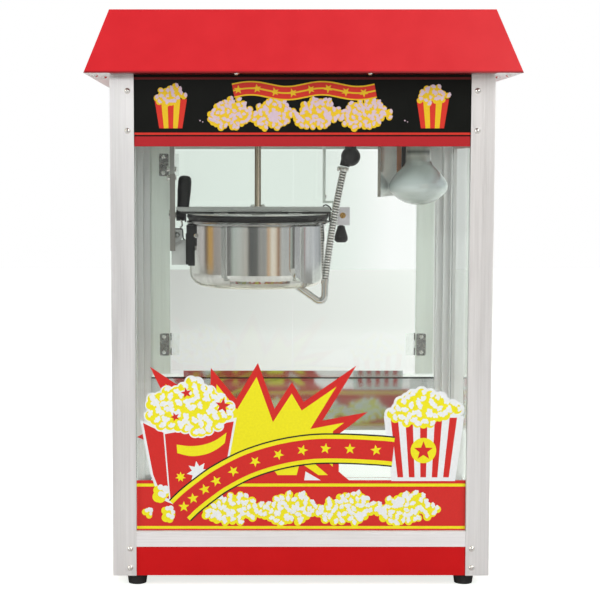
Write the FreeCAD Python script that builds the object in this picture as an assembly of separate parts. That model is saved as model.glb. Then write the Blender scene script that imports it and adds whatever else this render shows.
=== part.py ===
import FreeCAD, Part
import math
import os

# Countertop popcorn cabinet with a tilting kettle. Millimetres.
# Own frame: +X to the viewer's right, +Y towards the operator's side (rear), +Z up.
# Origin: centre of the footprint on the counter.

V = FreeCAD.Vector
os.makedirs("parts", exist_ok=True)

# ---- driving dimensions ----
BODY_W = 500.0           # outside of the corner posts
BODY_D = 358.0
POST = 31.0              # face width of a corner post
FOOT_H = 14.0
BASE_TOP = 53.0          # top of the red base panels, underside of the rails
RAIL_TOP = 74.0
SIGN_Z = 583.0           # bottom edge of the sign and the other head panels
CEILING_Z = 600.0
EAVE_Z = 676.0
ROOF_TOP = 759.0
OVERHANG = 30.8
SHEET = 1.2

SLOT_IN = 5.0            # glazing slot: distance from the outer face
SLOT_W = 4.6
SLOT_DEEP = 10.0
GLASS_T = 4.0
GLASS_TOP = 590.0

KETTLE_X = -56.0
KETTLE_R = 97.0
KETTLE_Z = 388.0         # underside of the kettle
RIM_Z = 478.5
COLLAR_R = 100.5
COLLAR_Z = 489.0         # top of the black collar
TILT_Z = 488.0
PIN_R = 5.0
RUN_FIT = 0.05
FLOOR_T = 13.0           # base of the pot with the sealed heater
BAR_HALF = 15.0          # half width of the crossbar
BAR_TOP = 500.0
BAR_LOW = 490.4          # lower edge of the bar's walls
BAR_X0 = -159.5          # outer face of the left ear
BAR_X1 = 46.8
BAR_END = -171.5         # left end of the bar's top, under the grip
LID_HINGE_Y = 17.4
LID_HINGE_Z = 493.8
LID_Z = 489.5
SHAFT_R = 4.5            # the long shaft that stands on the kettle
SHAFT_TOP = 598.5        # top of its tongue
FORK_Z = 592.0           # underside of the drive fork
FORK_R = 6.0
CONDUIT_Y = -48.0
CONDUIT_R = 5.3

STILE_IN = 189.0         # inner edge of a rear stile
STILE_Y = 170.4
STILE_T = 3.0
DOOR_Y = 171.0
DOOR_T = 3.0
DOOR_Z0 = 243.0
DOOR_Z1 = 580.0
HINGE_X = 190.0
HINGE_Y = 176.8
HINGE_R = 3.0
HINGE_LEN = 34.0
HINGE_ZS = (266.0, 542.0)

DRAWER_HALF = 110.0
DRAWER_Z0 = 17.6
DRAWER_Z1 = 66.0
DRAWER_Y0 = -110.0
DRAWER_Y1 = 173.0

LAMP_X = 164.6
LAMP_Y = -60.0
BULB_R = 40.5
BULB_WIDE_Z = 530.0
BULB_LOW_Z = 504.0

ROCKER_XS = (-70.0, 0.0, 70.0)
ROCKER_Z = 632.0
ROCKER_HALF = 8.0        # half width
ROCKER_LEN = 26.0
ROCKER_TILT = 10.0

HX = BODY_W / 2
HY = BODY_D / 2
IN_X = HX - POST         # inner faces of the posts
IN_Y = HY - POST
GAP = 0.2


# ---- helpers ----
def box(x0, x1, y0, y1, z0, z1):
    return Part.makeBox(x1 - x0, y1 - y0, z1 - z0, V(x0, y0, z0))


def cyl(radius, start, axis, length):
    return Part.makeCylinder(radius, length, V(*start), V(*axis))


def cone(r0, r1, start, axis, length):
    return Part.makeCone(r0, r1, length, V(*start), V(*axis))


def prism(points, direction):
    """Extrude the closed polygon through 3-D points along direction."""
    wire = Part.makePolygon([V(*p) for p in points] + [V(*points[0])])
    return Part.Face(wire).extrude(V(*direction))


def revolve(profile, centre_x, centre_y):
    """Turn (radius, z) points about the vertical axis at (centre_x, centre_y)."""
    points = [V(centre_x + r, centre_y, z) for r, z in profile]
    face = Part.Face(Part.makePolygon(points + [points[0]]))
    return face.revolve(V(centre_x, centre_y, 0), V(0, 0, 1), 360)


def fuse(shapes):
    result = shapes[0].multiFuse(shapes[1:]) if len(shapes) > 1 else shapes[0]
    return result.removeSplitter()


def mirror_x(shape):
    return shape.mirror(V(0, 0, 0), V(1, 0, 0))


def mirror_y(shape):
    return shape.mirror(V(0, 0, 0), V(0, 1, 0))


def export(node, shape):
    shape.exportStep("parts/%s.step" % node)


def plus_plan(x_wide, y_short, x_short, y_long, z0, z1):
    """Cross-shaped slab that fills the plan between the four corner posts."""
    return fuse([box(-x_wide, x_wide, -y_short, y_short, z0, z1),
                 box(-x_short, x_short, -y_long, y_long, z0, z1)])


def pan_screw(centre, axis, head_r=4.0, head_h=2.4, shank_r=1.7, shank=4.4):
    """Pan-head cross-recess screw. Axis points out of the seat."""
    c = V(*centre)
    n = V(*axis)
    dome_r = (head_r ** 2 + head_h ** 2) / (2 * head_h)
    ball = Part.makeSphere(dome_r, c + n * (head_h - dome_r))
    head = ball.common(Part.makeCylinder(head_r, head_h, c, n))
    side = V(0, 0, 1) if abs(n.z) < 0.5 else V(1, 0, 0)
    cross = n.cross(side)
    tip = c + n * (head_h - 1.0)
    for long_axis, wide_axis in ((side, cross), (cross, side)):
        corner = tip - long_axis * 2.0 - wide_axis * 0.45
        quad = [corner, corner + long_axis * 4.0, corner + long_axis * 4.0 + wide_axis * 0.9,
                corner + wide_axis * 0.9]
        slot = Part.Face(Part.makePolygon(quad + [quad[0]])).extrude(n * 2.0)
        head = head.cut(slot)
    return head.fuse(Part.makeCylinder(shank_r, shank, c - n * shank, n)).removeSplitter()


# ---- cabinet frame ----
SCREW_U = 22.8           # post screws: distance from the post's outer side
SCREW_ZS = (24.7, 50.5, 603.2, 654.7)
RIB_US = (2.5, 5.0, 7.5, 10.0, 12.5, 15.0)


def post():
    """Front-left extrusion: square tube with a glazing leg on two sides and ribbed faces."""
    z0, z1 = FOOT_H, EAVE_Z
    x0, y0 = -HX, -HY
    tube = 21.0
    leg = 11.4
    wall = 1.8
    body = fuse([box(x0, x0 + tube, y0, y0 + tube, z0, z1),
                 box(x0, x0 + POST, y0, y0 + leg, z0, z1),
                 box(x0, x0 + leg, y0, y0 + POST, z0, z1)])
    cuts = [box(x0 + leg + wall, x0 + tube - wall, y0 + leg + wall, y0 + tube - wall, z0, z1),
            box(x0 + tube, x0 + POST, y0 + SLOT_IN, y0 + SLOT_IN + SLOT_W, z0, z1),
            box(x0 + SLOT_IN, x0 + SLOT_IN + SLOT_W, y0 + tube, y0 + POST, z0, z1),
            box(x0 + wall, x0 + leg, y0 + wall, y0 + leg, z0, z1)]
    for u in RIB_US:
        cuts.append(box(x0 + u, x0 + u + 1.0, y0, y0 + 0.5, z0, z1))
        cuts.append(box(x0, x0 + 0.5, y0 + u, y0 + u + 1.0, z0, z1))
    for z in SCREW_ZS:
        cuts.append(cyl(1.8, (x0 + SCREW_U, y0, z), (0, 1, 0), SLOT_IN))
    return body.cut(cuts[0].multiFuse(cuts[1:]))


def eave_screw_places():
    """(x, y) of the screws up into the canopy's flange."""
    front_rear = [(x, y) for x in (-86.0, 86.0) for y in (-HY - 17.8, HY + 17.8)]
    sides = [(side * (HX + out), y) for side in (-1, 1)
             for out, y in ((20.8, -155.0), (12.0, -120.0), (20.8, 135.0))]
    return front_rear + sides


def frame_screws():
    screws = []
    for z in SCREW_ZS:
        for x in (-HX + SCREW_U, HX - SCREW_U):
            screws.append(pan_screw((x, -HY, z), (0, -1, 0)))
            screws.append(pan_screw((x, HY, z), (0, 1, 0)))
    for x, y in eave_screw_places():
        screws.append(pan_screw((x, y, EAVE_Z), (0, 0, -1), shank=1.0))
    return Part.makeCompound(screws)


def rubber_feet():
    feet = []
    for x in (-219.0, 219.0):
        for y in (-158.0, 158.0):
            feet.append(cone(12.0, 14.0, (x, y, 0), (0, 0, 1), FOOT_H))
    return Part.makeCompound(feet)


def base_pan():
    """Red sheet pan between the posts, open at the rear for the drawer."""
    z0 = FOOT_H + 2.0
    y_out = HY - 2.0
    x_out = HX - 1.5
    outer = fuse([box(-x_out, x_out, -IN_Y + GAP, IN_Y - GAP, z0, BASE_TOP),
                  box(-IN_X + GAP, IN_X - GAP, -y_out, y_out - SHEET - GAP, z0, BASE_TOP)])
    inner = fuse([box(-x_out + SHEET, x_out - SHEET, -IN_Y + GAP + SHEET, IN_Y - GAP - SHEET,
                      z0 + SHEET, BASE_TOP),
                  box(-IN_X + GAP + SHEET, IN_X - GAP - SHEET, -y_out + SHEET, y_out,
                      z0 + SHEET, BASE_TOP)])
    skirt = box(-IN_X + GAP, IN_X - GAP, -y_out, -y_out + SHEET, FOOT_H, z0)
    return fuse([outer.cut(inner), skirt])


def base_rear_panel():
    y1 = HY - 2.0
    panel = box(-IN_X + GAP, IN_X - GAP, y1 - SHEET, y1, FOOT_H, RAIL_TOP)
    hole = box(-DRAWER_HALF - 1, DRAWER_HALF + 1, y1 - 5, y1 + 5, DRAWER_Z0 - 1, DRAWER_Z1 + 1)
    return panel.cut(hole)


def front_rail():
    """Ribbed rail with a glazing groove in its top."""
    y0 = -HY + 1.0
    rail = box(-IN_X, IN_X, y0, y0 + 18.0, BASE_TOP, RAIL_TOP)
    groove = box(-IN_X, IN_X, -HY + SLOT_IN - GAP, -HY + SLOT_IN + SLOT_W, RAIL_TOP - 8.0, RAIL_TOP)
    core = box(-IN_X, IN_X, y0 + 2.0, y0 + 16.0, BASE_TOP + 2.0, RAIL_TOP - 10.0)
    ribs = [box(-IN_X, IN_X, y0, y0 + 0.5, z, z + 1.0) for z in (56.0, 59.0, 62.0, 65.0, 68.0, 71.0)]
    return rail.cut(groove.multiFuse([core] + ribs))


def side_rails():
    x0 = -HX + 1.0
    rail = box(x0, x0 + 18.0, -IN_Y + GAP, IN_Y - GAP, BASE_TOP, RAIL_TOP)
    groove = box(-HX + SLOT_IN - GAP, -HX + SLOT_IN + SLOT_W, -IN_Y, IN_Y, RAIL_TOP - 8.0, RAIL_TOP)
    core = box(x0 + 2.0, x0 + 16.0, -IN_Y, IN_Y, BASE_TOP + 2.0, RAIL_TOP - 10.0)
    ribs = [box(x0, x0 + 0.5, -IN_Y, IN_Y, z, z + 1.0) for z in (56.0, 59.0, 62.0, 65.0, 68.0, 71.0)]
    left = rail.cut(groove.multiFuse([core] + ribs))
    return Part.makeCompound([left, mirror_x(left)])


def front_glass():
    edge = IN_X + SLOT_DEEP - 2.0
    y0 = -HY + SLOT_IN + GAP
    return box(-edge, edge, y0, y0 + GLASS_T, RAIL_TOP - 7.5, GLASS_TOP)


def side_glass():
    edge = IN_Y + SLOT_DEEP - 2.0
    x0 = -HX + SLOT_IN + GAP
    return box(x0, x0 + GLASS_T, -edge, edge, RAIL_TOP - 7.5, GLASS_TOP)


# Outlines of the printed film on the front glass, as (x, z).
BAND_TOP = 142.0
BURST = ((-57.5, 299.0), (-35.5, 238.0), (-12.5, 273.5), (3.0, 247.0), (72.5, 295.5), (28.0, 222.0),
         (88.0, 233.5), (57.0, 205.0), (70.0, BAND_TOP), (-170.0, BAND_TOP), (-218.0, 203.0),
         (-190.0, 245.0), (-200.0, 294.0), (-150.0, 262.0), (-119.5, 292.5), (-86.0, 262.0))
CARTON = ((107.5, 150.0), (122.0, 262.0), (160.0, 269.5), (203.0, 262.0), (217.5, 150.0))
FILM_T = 0.15


def glass_film():
    y1 = -HY + SLOT_IN + GAP
    y0 = y1 - FILM_T
    band = box(-IN_X + 0.5, IN_X - 0.5, y0, y1, RAIL_TOP + 0.5, BAND_TOP)
    burst = prism([(x, y0, z) for x, z in BURST], (0, FILM_T, 0))
    carton = prism([(x, y0, z) for x, z in CARTON], (0, FILM_T, 0))
    link = box(60.0, 200.0, y0, y1, BAND_TOP - 1, 176.0)
    return fuse([band, burst, carton, link])


def sign_panel():
    y0 = -HY + 2.0
    face = box(-IN_X + GAP, IN_X - GAP, y0, y0 + SHEET, SIGN_Z, EAVE_Z - GAP)
    return face


def side_fascia():
    x0 = -HX + 1.0
    return box(x0, x0 + SHEET, -IN_Y + GAP, IN_Y - GAP, SIGN_Z, EAVE_Z - GAP)


GLAND_X = 180.0
GLAND_Z = 624.0


def control_panel():
    y1 = HY - 2.0
    panel = box(-IN_X + GAP, IN_X - GAP, y1 - SHEET, y1, SIGN_Z, EAVE_Z - GAP)
    cuts = [box(x - 10.5, x + 10.5, y1 - 5, y1 + 5, ROCKER_Z - 15.5, ROCKER_Z + 15.5)
            for x in ROCKER_XS]
    cuts.append(cyl(8.2, (GLAND_X, y1 - 5, GLAND_Z), (0, 1, 0), 10))
    return panel.cut(cuts[0].multiFuse(cuts[1:]))


def switch_frames():
    """Bezel and well of each rocker switch, fitted from outside."""
    frames = []
    y1 = HY - 2.0
    for x in ROCKER_XS:
        bezel = box(x - 12.5, x + 12.5, y1, y1 + 2.0, ROCKER_Z - 17.5, ROCKER_Z + 17.5)
        well = box(x - 10.3, x + 10.3, y1 - 20.0, y1, ROCKER_Z - 15.3, ROCKER_Z + 15.3)
        room = box(x - ROCKER_HALF - 0.4, x + ROCKER_HALF + 0.4, y1 - 18.0, y1 + 3.0,
                   ROCKER_Z - 13.9, ROCKER_Z + 13.9)
        frames.append(fuse([bezel, well]).cut(room))
    return Part.makeCompound(frames)


def rocker(x):
    """Rocker cap turning about X. It rests tipped down at its lower end, the off position."""
    y_axis = HY - 6.0
    r = ROCKER_LEN / 2
    body = cyl(r, (x - ROCKER_HALF, y_axis, ROCKER_Z), (1, 0, 0), 2 * ROCKER_HALF)
    front = []
    for sign in (1, -1):
        rise = r * math.tan(math.radians(ROCKER_TILT))
        front.append(prism([(x - ROCKER_HALF, y_axis - 6.0, ROCKER_Z),
                            (x - ROCKER_HALF, y_axis + 6.0, ROCKER_Z),
                            (x - ROCKER_HALF, y_axis + 6.0 + rise, ROCKER_Z + sign * r),
                            (x - ROCKER_HALF, y_axis - 6.0, ROCKER_Z + sign * r)],
                           (2 * ROCKER_HALF, 0, 0)))
    cap = body.common(front[0].fuse(front[1])).removeSplitter()
    cap.rotate(V(x, y_axis, ROCKER_Z), V(1, 0, 0), ROCKER_TILT)
    return cap


def cord_gland():
    """Domed gland with its flange outside the panel. The sealing disc closes it."""
    y1 = HY - 2.0
    body = cyl(8.0, (GLAND_X, y1 - 9.0, GLAND_Z), (0, 1, 0), 9.0)
    flange = cyl(12.0, (GLAND_X, y1, GLAND_Z), (0, 1, 0), 3.0)
    dome = cone(10.5, 7.5, (GLAND_X, y1 + 3.0, GLAND_Z), (0, 1, 0), 12.0)
    dish = cyl(4.5, (GLAND_X, y1 + 13.5, GLAND_Z), (0, 1, 0), 3.0)
    nut = cyl(12.0, (GLAND_X, y1 - SHEET - 4.0, GLAND_Z), (0, 1, 0), 4.0)
    return fuse([body, flange, dome, nut]).cut(dish)


SHAFT_HOLE_R = 9.5
PLUG_X = 72.0
PLUG_Z = 570.5
PLUG_R = 13.4


def ceiling_plate():
    plate = plus_plan(HX - 2.4, IN_Y - GAP, IN_X - GAP, HY - 6.0, CEILING_Z, CEILING_Z + SHEET)
    edges = [box(-IN_X + GAP, IN_X - GAP, -HY + 6.0, -HY + 6.0 + SHEET, CEILING_Z, CEILING_Z + 12.0),
             box(-IN_X + GAP, IN_X - GAP, HY - 6.0 - SHEET, HY - 6.0, CEILING_Z, CEILING_Z + 9.0)]
    plate = fuse([plate] + edges)
    holes = [cyl(SHAFT_HOLE_R, (KETTLE_X, 0, CEILING_Z - 5), (0, 0, 1), 30),
             cyl(22.0, (LAMP_X, LAMP_Y, CEILING_Z - 5), (0, 0, 1), 30),
             cyl(8.2, (PLUG_X, CONDUIT_Y, CEILING_Z - 5), (0, 0, 1), 30)]
    for x in ROCKER_XS:
        holes.append(box(x - 12, x + 12, HY - 24.0, HY, CEILING_Z + 14, CEILING_Z + 40))
    return plate.cut(holes[0].multiFuse(holes[1:]))


def roof_frustum(inset, z0, z1):
    """Solid roof shape, moved inwards by inset."""
    x0 = HX + OVERHANG - inset
    y0 = HY + OVERHANG - inset
    x1 = HX - inset
    y1 = HY - inset
    low = Part.makePolygon([V(-x0, -y0, z0), V(x0, -y0, z0), V(x0, y0, z0), V(-x0, y0, z0),
                            V(-x0, -y0, z0)])
    high = Part.makePolygon([V(-x1, -y1, z1), V(x1, -y1, z1), V(x1, y1, z1), V(-x1, y1, z1),
                             V(-x1, -y1, z1)])
    return Part.makeLoft([low, high], True, True)


def roof_canopy():
    shell = roof_frustum(0.0, EAVE_Z, ROOF_TOP)
    cavity = roof_frustum(1.5, EAVE_Z + SHEET, ROOF_TOP - SHEET)
    cuts = [cavity, box(-HX + 12, HX - 12, -HY + 12, HY - 12, EAVE_Z - 1, EAVE_Z + 5)]
    for x, y in eave_screw_places():
        cuts.append(cyl(1.8, (x, y, EAVE_Z - 1), (0, 0, 1), SHEET + 2))
    return shell.cut(cuts[0].multiFuse(cuts[1:]))


def rear_stiles():
    """Flat strips held in the rear posts' slots. They carry the doors."""
    left = box(-IN_X - 8.0, -STILE_IN, STILE_Y, STILE_Y + STILE_T, RAIL_TOP + GAP, GLASS_TOP)
    return Part.makeCompound([left, mirror_x(left)])


APRON_TOP = 238.0
APRON_Y = 167.6


def rear_apron():
    """Polished sheet below the doors with a folded top edge."""
    y0 = APRON_Y
    sheet = box(-IN_X + 1, IN_X - 1, y0, y0 + SHEET, RAIL_TOP + SHEET + GAP, APRON_TOP)
    x0, z0, z1 = -168.5, APRON_TOP - 5.2, APRON_TOP + 5.1
    lip = prism([(x0, y0, z0), (x0, y0 - 2.6, z0), (x0, y0 - 2.9, z1), (x0, y0 - 1.9, z1),
                 (x0, y0 - 1.6, z0 + 1.0), (x0, y0, z0 + 1.0)], (338.0, 0, 0))
    return fuse([sheet, lip])


def crumb_deck():
    """Loose perforated floor that lies on the rails."""
    z0 = RAIL_TOP
    deck = plus_plan(HX - 14.5, IN_Y - 0.6, IN_X - 0.6, APRON_Y - 0.6, z0, z0 + SHEET)
    lips = [box(-DRAWER_HALF, DRAWER_HALF, -155.0, -155.0 + SHEET, z0 - 6.0, z0),
            box(-DRAWER_HALF, DRAWER_HALF, 155.0, 155.0 + SHEET, z0 - 6.0, z0)]
    deck = fuse([deck] + lips)
    holes = []
    for i in range(11):
        for j in range(7):
            x = (i - 5) * 16.0
            y = 30.0 + (j - 3) * 16.0
            holes.append(cyl(3.0, (x, y, z0 - 1), (0, 0, 1), 4))
    return deck.cut(holes[0].multiFuse(holes[1:]))


def kernel_drawer():
    """Open drawer under the deck with a turned-down pull at its face."""
    x0, x1 = -DRAWER_HALF, DRAWER_HALF
    tub = box(x0, x1, DRAWER_Y0, DRAWER_Y1, DRAWER_Z0, DRAWER_Z1 - 3.0)
    room = box(x0 + 1, x1 - 1, DRAWER_Y0 + 1, DRAWER_Y1 - 1, DRAWER_Z0 + 1, DRAWER_Z1)
    face_y = HY - 2.0 + 0.4
    face = box(x0 - 6, x1 + 6, face_y, face_y + 1.5, DRAWER_Z0 - 3, DRAWER_Z1 + 5)
    bridge = box(x0, x1, DRAWER_Y1 - 1, face_y, DRAWER_Z0 + 2, DRAWER_Z1 - 3.0)
    shelf = box(-45, 45, face_y, face_y + 18.0, DRAWER_Z1 - 10.0, DRAWER_Z1 - 8.5)
    drop = box(-45, 45, face_y + 16.5, face_y + 18.0, DRAWER_Z1 - 20.0, DRAWER_Z1 - 8.5)
    return fuse([tub.cut(room), face, bridge.cut(room), shelf, drop])


# ---- rear doors ----
def door_panel():
    """Left clear door, seen from the front."""
    return box(-HINGE_X + 2.5, -1.0, DOOR_Y, DOOR_Y + DOOR_T, DOOR_Z0, DOOR_Z1)


def hinge_plates():
    """Fixed leaves with their outer knuckles and pin, and the inside clamp plates."""
    solids = []
    third = HINGE_LEN / 3
    leaf_y = STILE_Y + STILE_T
    for z in HINGE_ZS:
        leaf = box(-HINGE_X - 14.0, -HINGE_X, leaf_y, leaf_y + 1.4, z, z + HINGE_LEN)
        leaf = leaf.cut(box(-HINGE_X - 4.0, -HINGE_X + 4.0, leaf_y, leaf_y + 2.0,
                            z + third - 0.3, z + 2 * third + 0.3))
        axis_at = (-HINGE_X, HINGE_Y)
        low = cyl(HINGE_R, (axis_at[0], axis_at[1], z), (0, 0, 1), third - 0.3)
        high = cyl(HINGE_R, (axis_at[0], axis_at[1], z + 2 * third + 0.3), (0, 0, 1), third - 0.3)
        pin = cyl(1.2, (axis_at[0], axis_at[1], z), (0, 0, 1), HINGE_LEN)
        solids.append(fuse([leaf, low, high, pin]))
        inside = box(-HINGE_X - 15.0, -HINGE_X - 0.6, STILE_Y - 1.4, STILE_Y, z, z + HINGE_LEN)
        corners = [e for e in inside.Edges if e.BoundBox.YLength > 1.0]
        inside = inside.makeFillet(2.2, corners)
        screws = []
        for dz in (5.0, HINGE_LEN - 5.0):
            screws.append(pan_screw((-HINGE_X - 8.4, STILE_Y - 1.4, z + dz), (0, -1, 0),
                                    head_r=3.5, head_h=2.8, shank=1.2))
        solids.append(fuse([inside] + screws))
    return Part.makeCompound(solids + [mirror_x(s) for s in solids])


def door_fittings():
    """Moving hinge leaves of the left door."""
    solids = []
    third = HINGE_LEN / 3
    leaf_y = DOOR_Y + DOOR_T
    for z in HINGE_ZS:
        leaf = box(-HINGE_X, -HINGE_X + 15.0, leaf_y, leaf_y + 1.4, z, z + HINGE_LEN)
        for z_cut in (z, z + 2 * third - 0.3):
            leaf = leaf.cut(box(-HINGE_X - 4, -HINGE_X + 4, leaf_y, leaf_y + 2.0,
                                z_cut, z_cut + third + 0.3))
        barrel = cyl(HINGE_R, (-HINGE_X, HINGE_Y, z + third), (0, 0, 1), third)
        bore = cyl(1.2 + RUN_FIT, (-HINGE_X, HINGE_Y, z), (0, 0, 1), HINGE_LEN)
        web = box(-HINGE_X, -HINGE_X + 4, leaf_y, leaf_y + 1.4, z + third, z + 2 * third)
        solids.append(fuse([leaf, barrel, web]).cut(bore))
    return Part.makeCompound(solids)


# ---- kettle hangers ----
STRAP_X = -179.0
STRAP_T = 2.5
STRAP_HALF = 13.0


def hanger_left_channel():
    """Channel that drops from the ceiling on the left."""
    z0, z1 = 536.0, CEILING_Z
    x0, x1 = -180.2, -173.8
    web = box(-175.3, x1, -15.0, 15.0, z0, z1)
    fl1 = box(x0, x1, -15.0, -13.5, z0, z1)
    fl2 = box(x0, x1, 13.5, 15.0, z0, z1)
    foot = box(x0, x1, -15.0, 15.0, z1 - 1.5, z1)
    channel = fuse([web, fl1, fl2, foot])
    holes = [cyl(2.6, (-185.0, 0, z), (1, 0, 0), 15) for z in (541.0, 553.0)]
    return channel.cut(holes[0].fuse(holes[1]))


def hanger_left_strap():
    """Strap with a front flange that bears the left pivot, and the kettle's stop at its foot."""
    x0, x1 = STRAP_X, STRAP_X + STRAP_T
    strap = box(x0, x1, -STRAP_HALF, STRAP_HALF, 446.0, 560.0)
    low = box(x0, x1, 5.0, STRAP_HALF, 417.0, 446.0)
    tab = box(x0, -156.6, 5.0, 6.8, 417.0, 453.0)
    edge = box(x0, x1, -16.7, -STRAP_HALF, 438.0, 535.4)
    flange = box(-180.2, -172.6, -16.7, -15.1, 438.0, 546.8)
    holes = [cyl(2.6, (-185.0, 0, z), (1, 0, 0), 15) for z in (541.0, 553.0)]
    holes.append(cyl(PIN_R + RUN_FIT, (-185.0, 0, TILT_Z), (1, 0, 0), 15))
    shape = fuse([strap, low, tab, edge, flange])
    return shape.cut(holes[0].multiFuse(holes[1:]))


def hanger_right():
    """One bent plate: drop, outward joggle and forward arm that carries the pivot block."""
    drop = box(39.5, 42.5, 45.0, 70.0, 507.0, CEILING_Z)
    foot = box(39.5, 60.0, 45.0, 70.0, CEILING_Z - 3.0, CEILING_Z)
    joggle = box(39.5, 56.5, 45.0, 70.0, 504.0, 507.0)
    arm = box(53.5, 56.5, -12.0, 70.0, 474.0, 507.0)
    hole = cyl(PIN_R + 1.0, (50.0, 0, TILT_Z), (1, 0, 0), 15)
    return fuse([drop, foot, joggle, arm]).cut(hole)


def pivot_block():
    """Lipped block with the right pivot's bore and the plunger's bore from below."""
    x0, x1 = 56.5, 74.0
    block = box(x0, x1, -12.0, 12.0, 474.0, 499.5)
    block = block.cut(box(x0 + 2.0, x1 - 2.0, -12.0, -10.5, 476.5, 497.0))
    bore = cyl(PIN_R + RUN_FIT, (x0 - 1, 0, TILT_Z), (1, 0, 0), x1 - x0 - 2.0)
    plunge = cyl(3.0 + RUN_FIT, (62.5, 0, 470.0), (0, 0, 1), 14.0)
    return block.cut(bore).cut(plunge)


def hanger_bolts():
    """Bolts of the left strap and the right drop."""
    bolts = []
    for z in (541.0, 553.0):
        head = cyl(4.0, (-185.0, 0, z), (1, 0, 0), 185.0 + STRAP_X)
        shank = cyl(2.5, (-183.0, 0, z), (1, 0, 0), 11.0)
        nut = cyl(3.6, (-173.78, 0, z), (1, 0, 0), 2.4)
        bolts.append(fuse([head, shank, nut]))
    bolts.append(pan_screw((42.55, 57.5, 513.0), (1, 0, 0), shank=0.02))
    return Part.makeCompound(bolts)


def hook_bracket():
    """Small plate under the left pivot, bolted to the strap's inner face by its folded foot."""
    x0, y = STRAP_X + STRAP_T, -12.0
    foot = box(x0, x0 + 1.8, y, 4.0, 446.0, 470.0)
    face = prism([(x0, y, 444.5), (x0, y, 470.0), (-162.6, y, 470.0), (-162.6, y, 456.0)], (0, 1.6, 0))
    bolt = pan_screw((-170.0, y, 460.5), (0, -1, 0), shank=1.0)
    return fuse([foot, face, bolt])


def latch_knob():
    """Sprung plunger with a conical grip, pulled down to free the kettle."""
    stem = cyl(3.0, (62.5, 0, 466.0), (0, 0, 1), 16.2)
    grip = revolve([(0, 449.5), (6.5, 449.5), (9.4, 452.5), (9.6, 457.0), (6.8, 466.0), (5.0, 472.6),
                    (0, 472.6)], 62.5, 0)
    return fuse([stem, grip])


# ---- drive ----
def gearmotor():
    """Gearbox on the ceiling plate with its motor can on top. Its nose is bored for the drive fork."""
    z0 = CEILING_Z + SHEET
    case = box(KETTLE_X - 40, KETTLE_X + 40, -30, 30, z0, z0 + 36)
    nose = cyl(SHAFT_HOLE_R - 0.5, (KETTLE_X, 0, CEILING_Z), (0, 0, 1), 5)
    can = cyl(24.0, (KETTLE_X + 14, 0, z0 + 36), (0, 0, 1), 52)
    cap = cyl(8.0, (KETTLE_X + 14, 0, z0 + 88), (0, 0, 1), 5)
    bore = cyl(FORK_R + RUN_FIT, (KETTLE_X, 0, CEILING_Z - 1), (0, 0, 1), 26)
    return fuse([case, nose, can, cap]).cut(bore)


def drive_fork():
    """Output stub of the gearbox. The slot in its foot turns the stirrer's tongue."""
    stub = cyl(FORK_R, (KETTLE_X, 0, FORK_Z), (0, 0, 1), CEILING_Z + 22.0 - FORK_Z)
    slot = box(KETTLE_X - 1.8, KETTLE_X + 1.8, -10, 10, FORK_Z, SHAFT_TOP + 0.6)
    return stub.cut(slot)


HUB_Z = 402.5


def stirrer_shaft():
    """Long shaft with a tongue at its head."""
    tongue = box(KETTLE_X - 1.5, KETTLE_X + 1.5, -4.0, 4.0, FORK_Z - 2.0, SHAFT_TOP)
    shaft = cyl(SHAFT_R, (KETTLE_X, 0, HUB_Z), (0, 0, 1), FORK_Z - 0.6 - HUB_Z)
    return fuse([tongue, shaft])


def stirrer_arms():
    """Hub on the shaft's foot with two arms close over the pot's floor."""
    hub = cyl(9.0, (KETTLE_X, 0, HUB_Z), (0, 0, 1), 14.0)
    arm = box(6.0, 84.0, -2.0, 2.0, HUB_Z + 0.5, HUB_Z + 8.5)
    arm = arm.fuse(box(60.0, 84.0, -2.0, 2.0, HUB_Z + 8.5, HUB_Z + 17.5))
    solids = [hub]
    for angle in (25.0, 205.0):
        blade = arm.copy()
        blade.rotate(V(0, 0, 0), V(0, 0, 1), angle)
        blade.translate(V(KETTLE_X, 0, 0))
        solids.append(blade)
    return fuse(solids).cut(cyl(SHAFT_R, (KETTLE_X, 0, HUB_Z - 1), (0, 0, 1), 20.0))


# ---- kettle ----
def arc(centre_r, centre_z, radius, a0, a1, steps):
    """(radius, z) points of an arc for a turned profile."""
    points = []
    for i in range(steps + 1):
        a = math.radians(a0 + (a1 - a0) * i / steps)
        points.append((centre_r + radius * math.cos(a), centre_z + radius * math.sin(a)))
    return points


def kettle_pot():
    """Spun pot with a rounded foot, thick heated floor and rolled rim."""
    foot_r = 20.0
    outer = [(0, KETTLE_Z)] + arc(KETTLE_R - foot_r, KETTLE_Z + foot_r, foot_r, -90, 0, 8)
    inner_r = KETTLE_R - 1.5
    floor = KETTLE_Z + FLOOR_T
    inner = [(inner_r, RIM_Z)] + arc(inner_r - 9.0, floor + 9.0, 9.0, 0, -90, 5) + [(0, floor)]
    pot = revolve(outer + [(KETTLE_R, RIM_Z)] + inner, KETTLE_X, 0)
    rim = Part.makeTorus(KETTLE_R + 0.6, 3.2, V(KETTLE_X, 0, RIM_Z), V(0, 0, 1))
    spigot = cyl(3.0, (KETTLE_X, 0, floor - 1), (0, 0, 1), 2.4)
    return fuse([pot, rim, spigot])


def kettle_collar():
    """Black ring on the rim that the lids close on."""
    z0 = RIM_Z + 3.2
    ring = revolve([(92.0, z0), (98.0, z0), (COLLAR_R, z0 + 4.5), (COLLAR_R, COLLAR_Z - 1.0),
                    (COLLAR_R - 1.0, COLLAR_Z), (92.0, COLLAR_Z)], KETTLE_X, 0)
    return ring


def lid_knuckle(sign, x0, x1):
    return cyl(2.2, (x0, sign * LID_HINGE_Y, LID_HINGE_Z), (1, 0, 0), x1 - x0)


LID_KNUCKLE_XS = ((-118.0, -98.0), (-14.0, 6.0))


EAR_T = 1.9
STUD_X = -165.3          # the handle's stud through the bar
STUD_R = 4.6


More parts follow.
